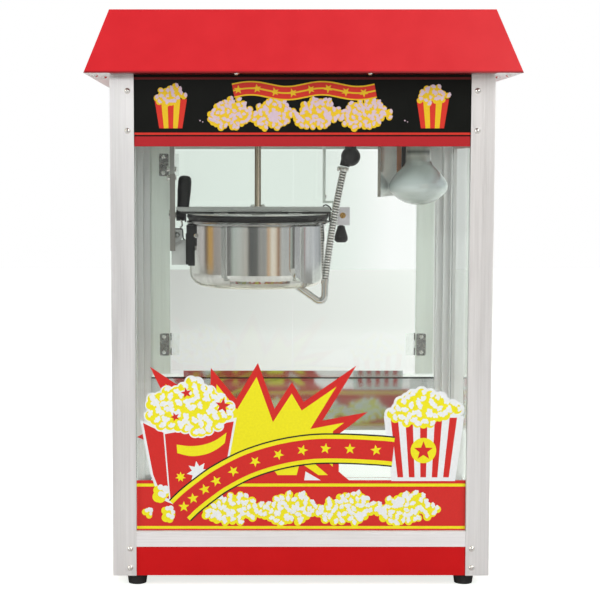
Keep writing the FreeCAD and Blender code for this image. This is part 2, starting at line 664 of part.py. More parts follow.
def crossbar():
    """Channel across the kettle: ears for the pivots, bush for the stirrer, lid hinge knuckles."""
    t = 1.6
    y = -BAR_HALF
    top = box(BAR_END, BAR_X1, y, BAR_HALF, BAR_TOP - t, BAR_TOP)
    side = prism([(BAR_END, y, BAR_TOP), (BAR_END, y, BAR_TOP - 3.0), (BAR_X0 - 2.0, y, BAR_LOW),
                  (BAR_X1, y, BAR_LOW), (BAR_X1, y, BAR_TOP)], (0, t, 0))
    sides = [side]
    for x in (KETTLE_X - 99.5, KETTLE_X + 93.0):
        sides.append(box(x, x + 6.5, y, y + t, COLLAR_Z, BAR_TOP - t))
    walls = sides + [mirror_y(part) for part in sides]
    ears = []
    for x in (BAR_X0, BAR_X1 - EAR_T):
        ears.append(cyl(10.0, (x, 0, TILT_Z), (1, 0, 0), EAR_T))
        ears.append(box(x, x + EAR_T, -10.0, 10.0, TILT_Z, BAR_TOP))
    bush = [cyl(7.0, (KETTLE_X, 0, COLLAR_Z - 8.0), (0, 0, 1), BAR_TOP - COLLAR_Z + 8.6)]
    for dx, dy in ((-7.2, -5.2), (7.2, 5.2)):
        bush.append(pan_screw((KETTLE_X + dx, dy, BAR_TOP), (0, 0, 1), head_r=3.6, head_h=3.6, shank=1.0))
    knuckles = []
    for sign in (-1, 1):
        for x0, x1 in LID_KNUCKLE_XS:
            for a, b in ((x0 - 9.0, x0 - 0.4), (x1 + 0.4, x1 + 9.0)):
                knuckles.append(lid_knuckle(sign, a, b))
                web_y = sorted((sign * (BAR_HALF - 0.5), sign * LID_HINGE_Y))
                knuckles.append(box(a, b, web_y[0], web_y[1], LID_HINGE_Z - 0.8, LID_HINGE_Z + 0.8))
            knuckles.append(cyl(0.9, (x0 - 9.0, sign * LID_HINGE_Y, LID_HINGE_Z), (1, 0, 0),
                                x1 - x0 + 18.0))
    shape = fuse([top] + walls + ears + bush + knuckles)
    stud_hole = cyl(STUD_R + RUN_FIT, (STUD_X, 0, BAR_TOP - 5.0), (0, 0, 1), 10.0)
    return shape.cut(cyl(SHAFT_R + RUN_FIT, (KETTLE_X, 0, COLLAR_Z - 20.0), (0, 0, 1), 40.0)).cut(stud_hole)


def lid(sign):
    """Half lid with its two knuckles. sign is -1 for the front lid."""
    disc = cyl(COLLAR_R - 1.5, (KETTLE_X, 0, LID_Z), (0, 0, 1), SHEET)
    edge = BAR_HALF + 1.0
    y0, y1 = sorted((sign * edge, sign * 120.0))
    plate = disc.common(box(-200, 200, y0, y1, LID_Z - 1, LID_Z + 5))
    solids = [plate]
    for x0, x1 in LID_KNUCKLE_XS:
        solids.append(lid_knuckle(sign, x0, x1))
        w0, w1 = sorted((sign * LID_HINGE_Y, sign * (LID_HINGE_Y + 2.2)))
        solids.append(box(x0, x1, w0, w1, LID_Z, LID_HINGE_Z))
        plate_cut = sorted((sign * (BAR_HALF - 1), sign * (LID_HINGE_Y + 3.0)))
        for a, b in ((x0 - 10.0, x0 - 0.1), (x1 + 0.1, x1 + 10.0)):
            solids[0] = solids[0].cut(box(a, b, plate_cut[0], plate_cut[1], LID_Z - 1, LID_Z + 9))
    tab_y = sorted((sign * 88.0, sign * 96.0))
    tab = box(KETTLE_X - 9, KETTLE_X + 9, tab_y[0], tab_y[1], LID_Z + SHEET, LID_Z + SHEET + 1.0)
    shape = fuse(solids + [tab])
    for x0, x1 in LID_KNUCKLE_XS:
        shape = shape.cut(cyl(0.9 + RUN_FIT + 0.03, (x0 - 2, sign * LID_HINGE_Y, LID_HINGE_Z), (1, 0, 0),
                              x1 - x0 + 4))
    return shape


def pivot_pins():
    """The pins fixed in the crossbar's two ears."""
    left = cyl(PIN_R, (-181.5, 0, TILT_Z), (1, 0, 0), 181.5 + BAR_X0)
    washer = cyl(7.5, (-182.2, 0, TILT_Z), (1, 0, 0), 1.8)
    right = cyl(PIN_R, (BAR_X1, 0, TILT_Z), (1, 0, 0), 70.0 - BAR_X1)
    return Part.makeCompound([fuse([left, washer]), right])


GRIP_X = -162.0


def kettle_handle():
    """Black hub on the left pivot with a leaning grip that stands on the bar above it."""
    hub = cyl(8.0, (-171.5, 0, TILT_Z), (1, 0, 0), 171.5 + BAR_X0 - 0.1)
    bore = cyl(PIN_R, (-175.0, 0, TILT_Z), (1, 0, 0), 20.0)
    stud = cyl(STUD_R, (STUD_X, 0, TILT_Z), (0, 0, 1), BAR_TOP + 2.0 - TILT_Z)
    grip = revolve([(0, 496.0), (8.4, 496.0), (8.8, 508.0), (9.6, 522.0), (9.6, 535.0), (8.8, 540.5),
                    (6.4, 543.2), (2.5, 544.2), (0, 544.2)], GRIP_X, 0)
    grip.rotate(V(GRIP_X, 0, BAR_TOP), V(0, 1, 0), 4.0)
    grip = grip.cut(box(-200.0, -120.0, -20.0, 20.0, 480.0, BAR_TOP))
    return fuse([hub.cut(bore), stud.cut(bore), grip])


COVER_MID = 44.0         # degrees from the front, towards +X
COVER_HALF = 29.0


def terminal_cover():
    """Bulged cover of the heater terminals, hugging the pot's wall."""
    z0, z1 = 397.0, RIM_Z - 4.0
    shell = cyl(KETTLE_R + 8.0, (0, 0, z0), (0, 0, 1), z1 - z0)
    shell = shell.cut(cyl(KETTLE_R + 0.05, (0, 0, z0), (0, 0, 1), z1 - z0))
    body = box(-COVER_HALF, COVER_HALF, -130.0, -60.0, z0, z1)
    low_edges = [e for e in body.Edges if abs(e.BoundBox.ZMax - z0) < 0.01 and e.BoundBox.YLength > 50]
    shape = shell.common(body.makeFillet(22.0, low_edges))
    shape.rotate(V(0, 0, 0), V(0, 0, 1), COVER_MID)
    shape.translate(V(KETTLE_X, 0, 0))
    return shape


BUMPER_Y = 4.7


def kettle_bumper():
    """Black block on the pot's left wall, with the strip that rests against the strap's stop."""
    inside = KETTLE_X - KETTLE_R + 12.0
    block = box(-156.2, inside, -36.0, BUMPER_Y, 446.0, 475.0)
    bar = box(-154.2, inside, -31.0, BUMPER_Y, 418.0, 447.0)
    strip = box(-158.4, inside, -3.0, BUMPER_Y, 418.0, 462.0)
    pot = cyl(KETTLE_R + 0.02, (KETTLE_X, 0, 410.0), (0, 0, 1), 70.0)
    return fuse([block, bar, strip]).cut(pot)


# ---- conduit ----
PIPE_FROM = V(-10.0, CONDUIT_Y, 396.7)
PIPE_LOW = V(36.4, CONDUIT_Y, 363.8)
PIPE_END = V(37.5, CONDUIT_Y, 398.0)
HOSE_MID = V(46.1, CONDUIT_Y, 480.0)
HOSE_TOP = V(63.5, CONDUIT_Y, 556.5)


def round_corner(a, b, c, radius):
    """Line from a to b to c with a tangent arc at b. Returns edges and the two tangent points."""
    u = (a - b).normalize()
    w = (c - b).normalize()
    half = u.getAngle(w) / 2
    reach = radius / math.tan(half)
    t0 = b + u * reach
    t1 = b + w * reach
    centre = b + (u + w).normalize() * (radius / math.sin(half))
    mid = centre + (b - centre).normalize() * radius
    return t0, mid, t1


def tube(points, radius, bend_radii):
    """Solid rod along straight runs joined by tangent arcs."""
    edges = []
    start = points[0]
    for i, bend in enumerate(bend_radii):
        t0, mid, t1 = round_corner(points[i], points[i + 1], points[i + 2], bend)
        edges.append(Part.LineSegment(start, t0).toShape())
        edges.append(Part.Arc(t0, mid, t1).toShape())
        start = t1
    edges.append(Part.LineSegment(start, points[-1]).toShape())
    path = Part.Wire(edges)
    ring = Part.Wire([Part.Circle(points[0], points[1] - points[0], radius).toShape()])
    return path.makePipeShell([ring], True, True)


HOSE_GAP = 0.8           # between the hose's ends and the solids it is crimped into


def conduit_pipe():
    """Rigid elbow that slants down from the pot's underside and turns up to the hose."""
    end = PIPE_END + (PIPE_LOW - PIPE_END).normalize() * HOSE_GAP
    pipe = tube([PIPE_FROM, PIPE_LOW, end], 5.0, [7.0])
    return pipe.cut(cyl(KETTLE_R, (KETTLE_X, 0, KETTLE_Z), (0, 0, 1), 40.0))


def hose_bend_radius():
    """Arc at the hose's middle: 0.45 of the shorter run over the tangent of half the turn."""
    turn = (HOSE_MID - PIPE_END).getAngle(HOSE_TOP - HOSE_MID)
    run = min((HOSE_MID - PIPE_END).Length, (HOSE_TOP - HOSE_MID).Length)
    return 0.45 * run / math.tan(turn / 2)


def conduit_hose():
    radius = hose_bend_radius()
    print("conduit hose: bend radius %.0f mm, length %.0f mm"
          % (radius, (HOSE_MID - PIPE_END).Length + (HOSE_TOP - HOSE_MID).Length))
    return tube([PIPE_END, HOSE_MID, HOSE_TOP], CONDUIT_R, [radius])


def conduit_plug():
    """Ball-shaped plug in the ceiling with its nose over the hose's end."""
    ball = Part.makeSphere(PLUG_R, V(PLUG_X, CONDUIT_Y, PLUG_Z))
    neck = cyl(8.0, (PLUG_X, CONDUIT_Y, PLUG_Z), (0, 0, 1), CEILING_Z + 10.0 - PLUG_Z)
    aim = (HOSE_TOP - HOSE_MID).normalize()
    nose = Part.makeCylinder(7.0, 9.0, HOSE_TOP + aim * HOSE_GAP, aim)
    return fuse([ball, neck, nose])


# ---- lamp ----
def lamp_bulb():
    """Reflector bulb, face down."""
    wide = BULB_WIDE_Z
    profile = [(0, BULB_LOW_Z), (10.0, BULB_LOW_Z + 0.9), (18.0, BULB_LOW_Z + 3.2),
               (26.5, BULB_LOW_Z + 7.6), (33.4, wide - 13.0), (38.3, wide - 7.6), (40.1, wide - 3.5),
               (BULB_R, wide), (39.9, wide + 4.0), (37.7, wide + 8.2), (34.3, wide + 13.0),
               (29.9, wide + 18.2), (24.5, wide + 23.6), (19.8, wide + 28.6), (17.0, wide + 34.0),
               (16.3, wide + 41.0), (16.3, 590.0), (13.0, 596.0), (13.0, 612.0), (0, 612.0)]
    return revolve(profile, LAMP_X, LAMP_Y)


def lamp_holder():
    """Holder above the ceiling that takes the bulb's cap, with its flange on the plate."""
    z0 = CEILING_Z + SHEET
    body = cyl(19.0, (LAMP_X, LAMP_Y, z0), (0, 0, 1), 38.0)
    flange = cyl(28.0, (LAMP_X, LAMP_Y, z0), (0, 0, 1), 3.0)
    return fuse([body, flange]).cut(cyl(13.3, (LAMP_X, LAMP_Y, z0 - 5), (0, 0, 1), 17.0))


SHIELD_LOW = 516.0


def lamp_shield():
    """Polished folded screen: front lip, slanting left wing and rear wing."""
    t = SHEET
    rear_x, rear_y = 142.5, 15.0
    z_len = CEILING_Z - SHIELD_LOW
    lip = prism([(104.5, -106.0, SHIELD_LOW), (108.5, -106.0, SHIELD_LOW), (108.5, -104.8, SHIELD_LOW),
                 (104.5, -104.8, SHIELD_LOW)], (0, 0, z_len))
    wing = prism([(108.5 - t, -106.0, SHIELD_LOW), (108.5, -106.0, SHIELD_LOW),
                  (rear_x, rear_y, SHIELD_LOW), (rear_x - t, rear_y, SHIELD_LOW)], (0, 0, z_len))
    back = box(rear_x - t, 206.0, rear_y - t, rear_y, SHIELD_LOW + 8.0, CEILING_Z)
    flange = box(rear_x - t, 206.0, rear_y, rear_y + 12.0, CEILING_Z - t, CEILING_Z)
    return fuse([lip, wing, back, flange])


# ---- build ----
front_left = post()
export("post_front_left", front_left)
export("post_front_right", mirror_x(front_left))
export("post_rear_left", mirror_y(front_left))
export("post_rear_right", mirror_x(mirror_y(front_left)))
export("frame_screws", frame_screws())
export("rubber_feet", rubber_feet())
export("base_pan", base_pan())
export("base_rear_panel", base_rear_panel())
export("front_rail", front_rail())
export("side_rails", side_rails())
export("front_glass", front_glass())
export("side_glass_left", side_glass())
export("side_glass_right", mirror_x(side_glass()))
export("glass_film", glass_film())
export("sign_panel", sign_panel())
export("side_fascia_left", side_fascia())
export("side_fascia_right", mirror_x(side_fascia()))
export("control_panel", control_panel())
export("switch_frames", switch_frames())
for name, rocker_x in zip(("rocker_heat", "rocker_motor", "rocker_light"), ROCKER_XS):
    export(name, rocker(rocker_x))
export("cord_gland", cord_gland())
export("ceiling_plate", ceiling_plate())
export("roof_canopy", roof_canopy())
export("rear_stiles", rear_stiles())
export("rear_apron", rear_apron())
export("crumb_deck", crumb_deck())
export("kernel_drawer", kernel_drawer())
export("door_left", door_panel())
export("door_right", mirror_x(door_panel()))
export("hinge_plates", hinge_plates())
export("door_hinges_left", door_fittings())
export("door_hinges_right", mirror_x(door_fittings()))
export("hanger_left_channel", hanger_left_channel())
export("hanger_left_strap", hanger_left_strap())
export("hanger_right", hanger_right())
export("pivot_block", pivot_block())
export("hanger_bolts", hanger_bolts())
export("hook_bracket", hook_bracket())
export("latch_knob", latch_knob())
export("gearmotor", gearmotor())
export("drive_fork", drive_fork())
export("stirrer_shaft", stirrer_shaft())
export("stirrer_arms", stirrer_arms())
export("kettle_pot", kettle_pot())
export("kettle_collar", kettle_collar())
export("crossbar", crossbar())
export("lid_front", lid(-1))
export("lid_rear", lid(1))
export("pivot_pins", pivot_pins())
export("kettle_handle", kettle_handle())
export("terminal_cover", terminal_cover())
export("kettle_bumper", kettle_bumper())
export("conduit_pipe", conduit_pipe())
export("conduit_hose", conduit_hose())
export("conduit_plug", conduit_plug())
export("lamp_bulb", lamp_bulb())
export("lamp_holder", lamp_holder())
export("lamp_shield", lamp_shield())
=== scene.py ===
import math
import random

import bmesh
import bpy
import numpy as np
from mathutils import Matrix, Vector


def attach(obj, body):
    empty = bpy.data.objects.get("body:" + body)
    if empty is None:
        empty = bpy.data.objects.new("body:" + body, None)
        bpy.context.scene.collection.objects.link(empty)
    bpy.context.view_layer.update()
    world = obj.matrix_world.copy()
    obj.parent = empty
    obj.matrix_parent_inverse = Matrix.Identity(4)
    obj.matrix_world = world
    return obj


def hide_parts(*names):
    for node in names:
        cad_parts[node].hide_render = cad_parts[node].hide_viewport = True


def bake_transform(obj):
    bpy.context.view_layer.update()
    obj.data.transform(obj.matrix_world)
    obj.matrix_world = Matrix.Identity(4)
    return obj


# Countertop popcorn cabinet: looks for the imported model. Metres, same frame as the CAD.
# Small lengths are written in millimetres and multiplied by MM.

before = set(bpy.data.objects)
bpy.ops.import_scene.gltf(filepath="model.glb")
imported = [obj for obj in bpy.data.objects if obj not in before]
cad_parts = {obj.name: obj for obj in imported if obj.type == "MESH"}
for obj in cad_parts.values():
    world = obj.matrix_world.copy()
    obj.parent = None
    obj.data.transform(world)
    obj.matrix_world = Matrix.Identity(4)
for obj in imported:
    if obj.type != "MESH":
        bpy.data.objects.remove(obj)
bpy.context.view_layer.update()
MM = 0.001


# ---------- camera
CAMERA_PLACE = (-0.0789, -2.1765, 0.5597)
CAMERA_PITCH_DOWN = 5.063       # degrees
CAMERA_LENS = 91.78             # mm, on a 36 mm sensor


def make_camera():
    data = bpy.data.cameras.new("camera")
    data.sensor_width = 36.0
    data.lens = CAMERA_LENS
    data.shift_x = 0.0972
    data.clip_end = 50.0
    camera = bpy.data.objects.new("camera", data)
    bpy.context.scene.collection.objects.link(camera)
    camera.location = CAMERA_PLACE
    camera.rotation_euler = (math.radians(90.0 - CAMERA_PITCH_DOWN), 0.0, 0.0)
    bpy.context.scene.camera = camera


make_camera()


# ---------- mesh helpers
def link(obj):
    bpy.context.scene.collection.objects.link(obj)
    return obj


def mesh_object(name, vertices, faces, material, smooth_angle=None):
    mesh = bpy.data.meshes.new(name)
    mesh.from_pydata([tuple(v) for v in vertices], [], faces)
    mesh.update()
    mesh.materials.append(material)
    obj = link(bpy.data.objects.new(name, mesh))
    if smooth_angle is not None:
        mesh.shade_smooth()
        mesh.set_sharp_from_angle(angle=math.radians(smooth_angle))
    return obj


def place(obj, body, slot_name, *replaced):
    """Put a finished piece on its body and hide the CAD parts that it replaces. slot_name is not used.
    """
    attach(obj, body)
    if replaced:
        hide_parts(*replaced)
    return obj


def ring_frame(direction):
    """Two unit vectors across direction."""
    d = Vector(direction).normalized()
    up = Vector((0, 1, 0)) if abs(d.y) < 0.9 else Vector((0, 0, 1))
    u = d.cross(up).normalized()
    return u, d.cross(u).normalized()


def tube_mesh(stations, segments=28):
    """Vertices and faces of a turned closed tube. stations are (centre, direction, radius)."""
    vertices, faces = [], []
    for centre, direction, radius in stations:
        u, w = ring_frame(direction)
        for k in range(segments):
            a = 2 * math.pi * k / segments
            vertices.append(Vector(centre) + (u * math.cos(a) + w * math.sin(a)) * radius)
    for i in range(len(stations) - 1):
        for k in range(segments):
            n = (k + 1) % segments
            a, b = i * segments, (i + 1) * segments
            faces.append((a + k, a + n, b + n, b + k))
    faces.append(tuple(reversed(range(segments))))
    last = (len(stations) - 1) * segments
    faces.append(tuple(range(last, last + segments)))
    return vertices, faces


def turned(name, base, direction, profile, material, segments=28, smooth_angle=35.0):
    """Closed turned piece. profile is (distance along the axis, radius) in millimetres."""
    d = Vector(direction).normalized()
    stations = [(Vector(base) + d * s * MM, d, r * MM) for s, r in profile]
    vertices, faces = tube_mesh(stations, segments)
    return mesh_object(name, vertices, faces, material, smooth_angle)


def soft_box(name, low, high, bevel, material):
    """Box with rounded edges, corners in millimetres."""
    bm = bmesh.new()
    bmesh.ops.create_cube(bm, size=1.0)
    lo, hi = Vector(low) * MM, Vector(high) * MM
    for v in bm.verts:
        v.co = Vector((lo[i] + (v.co[i] + 0.5) * (hi[i] - lo[i])) for i in range(3))
    bmesh.ops.bevel(bm, geom=bm.edges[:], offset=bevel * MM, segments=3, affect="EDGES", profile=0.5)
    mesh = bpy.data.meshes.new(name)
    bm.to_mesh(mesh)
    bm.free()
    mesh.materials.append(material)
    mesh.shade_smooth()
    mesh.set_sharp_from_angle(angle=math.radians(40))
    return link(bpy.data.objects.new(name, mesh))


# ---------- materials
class Graph:
    """The nodes of a material or a world, with short ways to add and join them."""

    def __init__(self, owner):
        owner.use_nodes = True
        self.nodes, self.join = owner.node_tree.nodes, owner.node_tree.links.new
        if "Principled BSDF" in self.nodes:
            self.shader = self.nodes["Principled BSDF"]
            self.inputs = self.shader.inputs

    def new(self, kind):
        return self.nodes.new("ShaderNode" + kind)

    def math(self, operation, first, second=0.0):
        """Result of a math node. Each input is a number or a socket."""
        node = self.new("Math")
        node.operation = operation
        for socket, value in zip(node.inputs, (first, second)):
            if isinstance(value, float):
                socket.default_value = value
            else:
                self.join(value, socket)
        return node.outputs[0]

    def axis(self, axis, source=None):
        """One axis of a vector, or else of the object's own coordinates in metres."""
        split = self.new("SeparateXYZ")
        if source is None:
            source = self.new("TexCoord").outputs["Object"]
        self.join(source, split.inputs["Vector"])
        return split.outputs[axis]

    def normal(self):
        return self.new("NewGeometry").outputs["Normal"]

    def ranged(self, value, low, high, to_low=0.0, to_high=1.0):
        """Map the range low to high of a value to another range, and clamp it there."""
        node = self.new("MapRange")
        limits = zip(("From Min", "From Max", "To Min", "To Max"), (low, high, to_low, to_high))
        for name, number in limits:
            node.inputs[name].default_value = number
        self.join(value, node.inputs["Value"])
        return node.outputs["Result"]

    def spread(self, noise, low, high):
        """Map a noise of about 0.3 to 0.7 to the range low to high."""
        return self.ranged(noise, 0.3, 0.7, low, high)

    def noise(self, scale, stretch=(1, 1, 1), detail=4.0):
        """Noise in object space, scale in waves per metre, stretched along an axis by a small factor."""
        mapping = self.new("Mapping")
        mapping.inputs["Scale"].default_value = tuple(scale * s for s in stretch)
        noise = self.new("TexNoise")
        noise.inputs["Scale"].default_value = 1.0
        noise.inputs["Detail"].default_value = detail
        noise.inputs["Roughness"].default_value = 0.55
        self.join(self.new("TexCoord").outputs["Object"], mapping.inputs["Vector"])
        self.join(mapping.outputs["Vector"], noise.inputs["Vector"])
        return noise.outputs["Fac"]

    def ramp(self, factor, stops):
        """Colours along a factor. stops are (position, colour)."""
        node = self.new("ValToRGB")
        elements = node.color_ramp.elements
        while len(elements) < len(stops):
            elements.new(0.5)
        for element, (position, colour) in zip(elements, stops):
            element.position = position
            element.color = (*colour, 1.0)
        self.join(factor, node.inputs["Fac"])
        return node.outputs["Color"]

    def relief(self, strength, depth, grain):
        """Bump the surface, depth in millimetres, by a grain socket."""
        node = self.new("Bump")
        node.inputs["Strength"].default_value = strength
        node.inputs["Distance"].default_value = depth * MM
        self.join(grain, node.inputs["Height"])
        self.join(node.outputs["Normal"], self.inputs["Normal"])

    def mixed_shaders(self, factor, first, second, output):
        mix = self.new("MixShader")
        for socket, source in zip(mix.inputs, (factor, first, second)):
            self.join(source, socket)
        self.join(mix.outputs["Shader"], self.nodes[output].inputs["Surface"])

    def mixed_colour(self, blend_type):
        """Put a mix node behind the base colour, and return it."""
        mix = self.new("Mix")
        mix.data_type = "RGBA"
        mix.blend_type = blend_type
        self.join(self.inputs["Base Color"].links[0].from_socket, mix.inputs[6])
        self.join(mix.outputs[2], self.inputs["Base Color"])
        return mix

    def set(self, **values):
        """Set the shader's sockets by their short names in SOCKETS."""
        for name, value in values.items():
            self.inputs[SOCKETS[name]].default_value = value


SOCKETS = {"metallic": "Metallic", "coat": "Coat Weight", "coat_rough": "Coat Roughness",
           "specular": "Specular IOR Level", "roughness": "Roughness", "ior": "IOR",
           "transmission": "Transmission Weight", "alpha": "Alpha"}


def tint(colour, amount):
    return tuple(min(1.0, max(0.0, c * amount)) for c in colour)


def surface(name, colour, rough, metallic=0.0, scale=60.0, stretch=(1, 1, 1), variation=0.06,
            rough_spread=0.06, bump=0.1, bump_depth=0.05, bump_scale=None, coat=0.0, coat_rough=0.1,
            specular=0.5):
    """Principled material with colour, roughness and fine bump from object-space noise."""
    material = bpy.data.materials.new(name)
    graph = Graph(material)
    tone = graph.noise(scale, stretch)
    colours = [(0.30, tint(colour, 1 - variation)), (0.70, tint(colour, 1 + variation))]
    graph.join(graph.ramp(tone, colours), graph.inputs["Base Color"])
    graph.join(graph.spread(tone, rough - rough_spread, rough + rough_spread), graph.inputs["Roughness"])
    graph.relief(bump, bump_depth, graph.noise(bump_scale or scale * 8, stretch))
    graph.set(metallic=metallic, coat=coat, coat_rough=coat_rough, specular=specular)
    return material


def banded(material, axis, low, high, stops):
    """Multiply a material's colour by a ramp along an axis of the object, low to high in mm."""
    graph = Graph(material)
    mix = graph.mixed_colour("MULTIPLY")
    mix.inputs[0].default_value = 1.0
    share = graph.ranged(graph.axis(axis), low * MM, high * MM)
    graph.join(graph.ramp(share, stops), mix.inputs[7])
    return material


def recoloured(graph, mask, colour):
    """Give a material another colour where the mask socket is 1."""
    mix = graph.mixed_colour("MIX")
    graph.join(mask, mix.inputs[0])
    mix.inputs[7].default_value = (*colour, 1.0)


def grey(value):
    return (value, value, value)


UPRIGHT = (1.0, 1.0, 0.02)      # grain that runs along Z
ALONG_X = (0.02, 1.0, 1.0)

STILE_SEAM_X = 0.2162           # where the stile's white outer edge starts
POST_OUTER_X = 0.2478           # beyond this the eave hangs free
HEM_TOP_Z = 0.5885
SHEET_FRONT_Y = (0.1673, 0.1680)  # the lower rear sheet's front face
SHEET_EDGE_Z = 0.2330           # above this its rolled edge gets a painted highlight
SHEET_FOOT_Z = 0.1500
SHEET_BOW = (0.0, 0.0, -0.031)

EXTRUDED = dict(scale=500.0, variation=0.05, rough_spread=0.05, bump=0.12, bump_scale=1500.0)
PAINT = dict(scale=30.0, variation=0.03, rough_spread=0.03, bump=0.10, bump_depth=0.04,
             bump_scale=900.0)
MIRROR = dict(metallic=1.0, scale=160.0, stretch=UPRIGHT, variation=0.06, rough_spread=0.02,
              bump=0.07, bump_depth=0.03, bump_scale=520.0)
BRUSHED = dict(scale=420.0, variation=0.08, rough_spread=0.06, bump=0.2, bump_scale=1600.0)
RED = (0.600, 0.005, 0.007)


def stile_material():
    """Pale aluminium strip whose outer edge is white lacquer."""
    material = surface("stile_metal", (0.80, 0.85, 0.80), 0.42, metallic=0.7, scale=240.0,
                       stretch=UPRIGHT, variation=0.05, bump=0.12, bump_scale=1400.0)
    graph = Graph(material)
    seam = graph.math("GREATER_THAN", graph.axis("X"), STILE_SEAM_X)
    recoloured(graph, seam, grey(1.0))
    bare = graph.math("SUBTRACT", 0.7, graph.math("MULTIPLY", seam, 0.7))
    graph.join(bare, graph.inputs["Metallic"])
    return material


def roof_material():
    """Red lacquered sheet, darker along its rolled edge as painted shade, and white under the side eaves
    as a painted highlight.
    """
    material = surface("red_roof", (0.620, 0.010, 0.018), 0.36, coat=0.2, coat_rough=0.16,
                       specular=0.4, **PAINT)
    # painted shade: the lowest 10 mm of the skirt is darkened towards its rolled edge
    banded(material, "Z", 676.0, 686.0, [(0.0, grey(0.30)), (0.14, grey(0.42)), (0.32, grey(1.0))])
    graph = Graph(material)
    # painted highlight: the underside of the eaves beyond the posts is made near white
    beyond_post = graph.math("GREATER_THAN", graph.math("ABSOLUTE", graph.axis("X")), POST_OUTER_X)
    lit_soffit_mask = graph.math("LESS_THAN", graph.axis("Z", graph.normal()), -0.8)
    recoloured(graph, graph.math("MULTIPLY", lit_soffit_mask, beyond_post), grey(0.92))
    return material


def control_panel_material():
    """Red sheet with a pale hem along its lower edge."""
    material = surface("red_panel", RED, 0.44, specular=0.16, **PAINT)
    graph = Graph(material)
    recoloured(graph, graph.math("LESS_THAN", graph.axis("Z"), HEM_TOP_Z), (0.70, 0.74, 0.70))
    return material


def mirror_sheet_material():
    """Polished sheet bowed a little towards the deck, with a painted highlight on its rolled edge above
    a painted shadow line.
    """
    material = surface("mirror_sheet", (0.80, 0.81, 0.80), 0.07, metallic=1.0, scale=120.0,
                       stretch=ALONG_X, variation=0.04, rough_spread=0.02, bump=0.05,
                       bump_depth=0.02, bump_scale=420.0)
    graph = Graph(material)
    tip, unit = graph.new("VectorMath"), graph.new("VectorMath")
    graph.join(graph.normal(), tip.inputs[0])
    tip.inputs[1].default_value = SHEET_BOW
    unit.operation = "NORMALIZE"
    graph.join(tip.outputs["Vector"], unit.inputs[0])
    graph.join(unit.outputs["Vector"], graph.nodes["Bump"].inputs["Normal"])
    # painted shadow: a dark line about 230 to 233 mm high, under the rolled edge
    banded(material, "Z", 228.0, 240.0, [(0.0, grey(1.0)), (0.16, grey(1.0)), (0.22, grey(0.08)),
                                         (0.38, grey(0.10)), (0.42, grey(1.0))])
    height, depth = graph.axis("Z"), graph.axis("Y")
    # painted highlight: the rolled edge's front face above SHEET_EDGE_Z is matte near white. The foot
    # below SHEET_FOOT_Z is matte near white too.
    edge = graph.math("MULTIPLY", graph.math("GREATER_THAN", height, SHEET_EDGE_Z),
                      graph.math("GREATER_THAN", depth, SHEET_FRONT_Y[0]))
    foot = graph.math("LESS_THAN", height, SHEET_FOOT_Z)
    pale = graph.math("MULTIPLY", graph.math("LESS_THAN", depth, SHEET_FRONT_Y[1]),
                      graph.math("MAXIMUM", edge, foot))
    recoloured(graph, pale, (0.98, 1.0, 0.98))
    graph.join(graph.math("SUBTRACT", 1.0, pale), graph.inputs["Metallic"])
    return material


aluminium = surface("aluminium_upright", (0.86, 0.865, 0.87), 0.38, metallic=0.70, stretch=UPRIGHT,
                    **EXTRUDED)
aluminium_rail = surface("aluminium_rail", (0.93, 0.935, 0.95), 0.40, metallic=0.45, stretch=ALONG_X,
                         **EXTRUDED)
stile_metal = stile_material()
red_roof = roof_material()
red_panel = control_panel_material()
red_base = surface("red_base", RED, 0.44, specular=0.16, **PAINT)
black_panel = surface("black_panel", (0.006, 0.007, 0.006), 0.36, scale=40.0, variation=0.10,
                      rough_spread=0.02, bump=0.03, bump_scale=800.0, specular=0.10)
chrome = surface("bright_zinc", (0.78, 0.77, 0.74), 0.20, metallic=1.0, scale=300.0, variation=0.08,
                 bump=0.15, bump_scale=2200.0)
polished = surface("polished_steel", (0.80, 0.80, 0.79), 0.065, **MIRROR)
mirror_sheet = mirror_sheet_material()
brushed = surface("brushed_steel", (0.60, 0.61, 0.60), 0.32, metallic=0.9, stretch=ALONG_X, **BRUSHED)
# painted highlight and shade: a bright stripe down the shaft near X -54.7 mm, darker towards both sides
shaft_steel = banded(
    surface("shaft_steel", (0.86, 0.81, 0.72), 0.28, metallic=1.0, stretch=UPRIGHT, **BRUSHED),
    "X", -60.5, -51.5, [(0.0, (0.26, 0.24, 0.20)), (0.22, (0.50, 0.46, 0.38)),
                        (0.50, (0.72, 0.66, 0.56)), (0.64, grey(1.0)),
                        (0.78, (0.52, 0.48, 0.40)), (1.0, (0.26, 0.24, 0.20))])
# painted shade: the hinge knuckles, about 491 to 493.5 mm high, are darkened where the gap under the bar
# falls in shadow
lid_steel = banded(
    surface("lid_steel", (0.62, 0.63, 0.61), 0.34, metallic=0.85, scale=300.0, stretch=ALONG_X,
            variation=0.06, rough_spread=0.04, bump=0.12, bump_scale=1500.0),
    "Z", 488.0, 500.0, [(0.0, grey(1.0)), (0.26, grey(1.0)), (0.28, grey(0.12)), (0.44, grey(0.12)),
                        (0.46, grey(1.0))])
hose_metal = surface("hose_metal", (0.94, 0.93, 0.89), 0.24, metallic=1.0, scale=700.0,
                     variation=0.14, rough_spread=0.08, bump=0.2, bump_scale=3000.0)
hose_groove = surface("hose_groove", (0.24, 0.235, 0.22), 0.40, metallic=0.8, scale=700.0,
                      variation=0.2, bump=0.2, bump_scale=3000.0)
black_plastic = surface("black_plastic", (0.014, 0.014, 0.015), 0.42, scale=200.0, variation=0.2,
                        bump=0.25, bump_depth=0.06, bump_scale=1800.0, specular=0.35)
black_enamel = surface("black_enamel", grey(0.010), 0.30, scale=150.0, variation=0.2,
                       rough_spread=0.04, bump=0.06, bump_scale=900.0, specular=0.3)
casting = surface("motor_casting", (0.24, 0.25, 0.26), 0.50, metallic=0.4, scale=220.0,
                  variation=0.12, bump=0.35, bump_depth=0.12, bump_scale=1200.0)
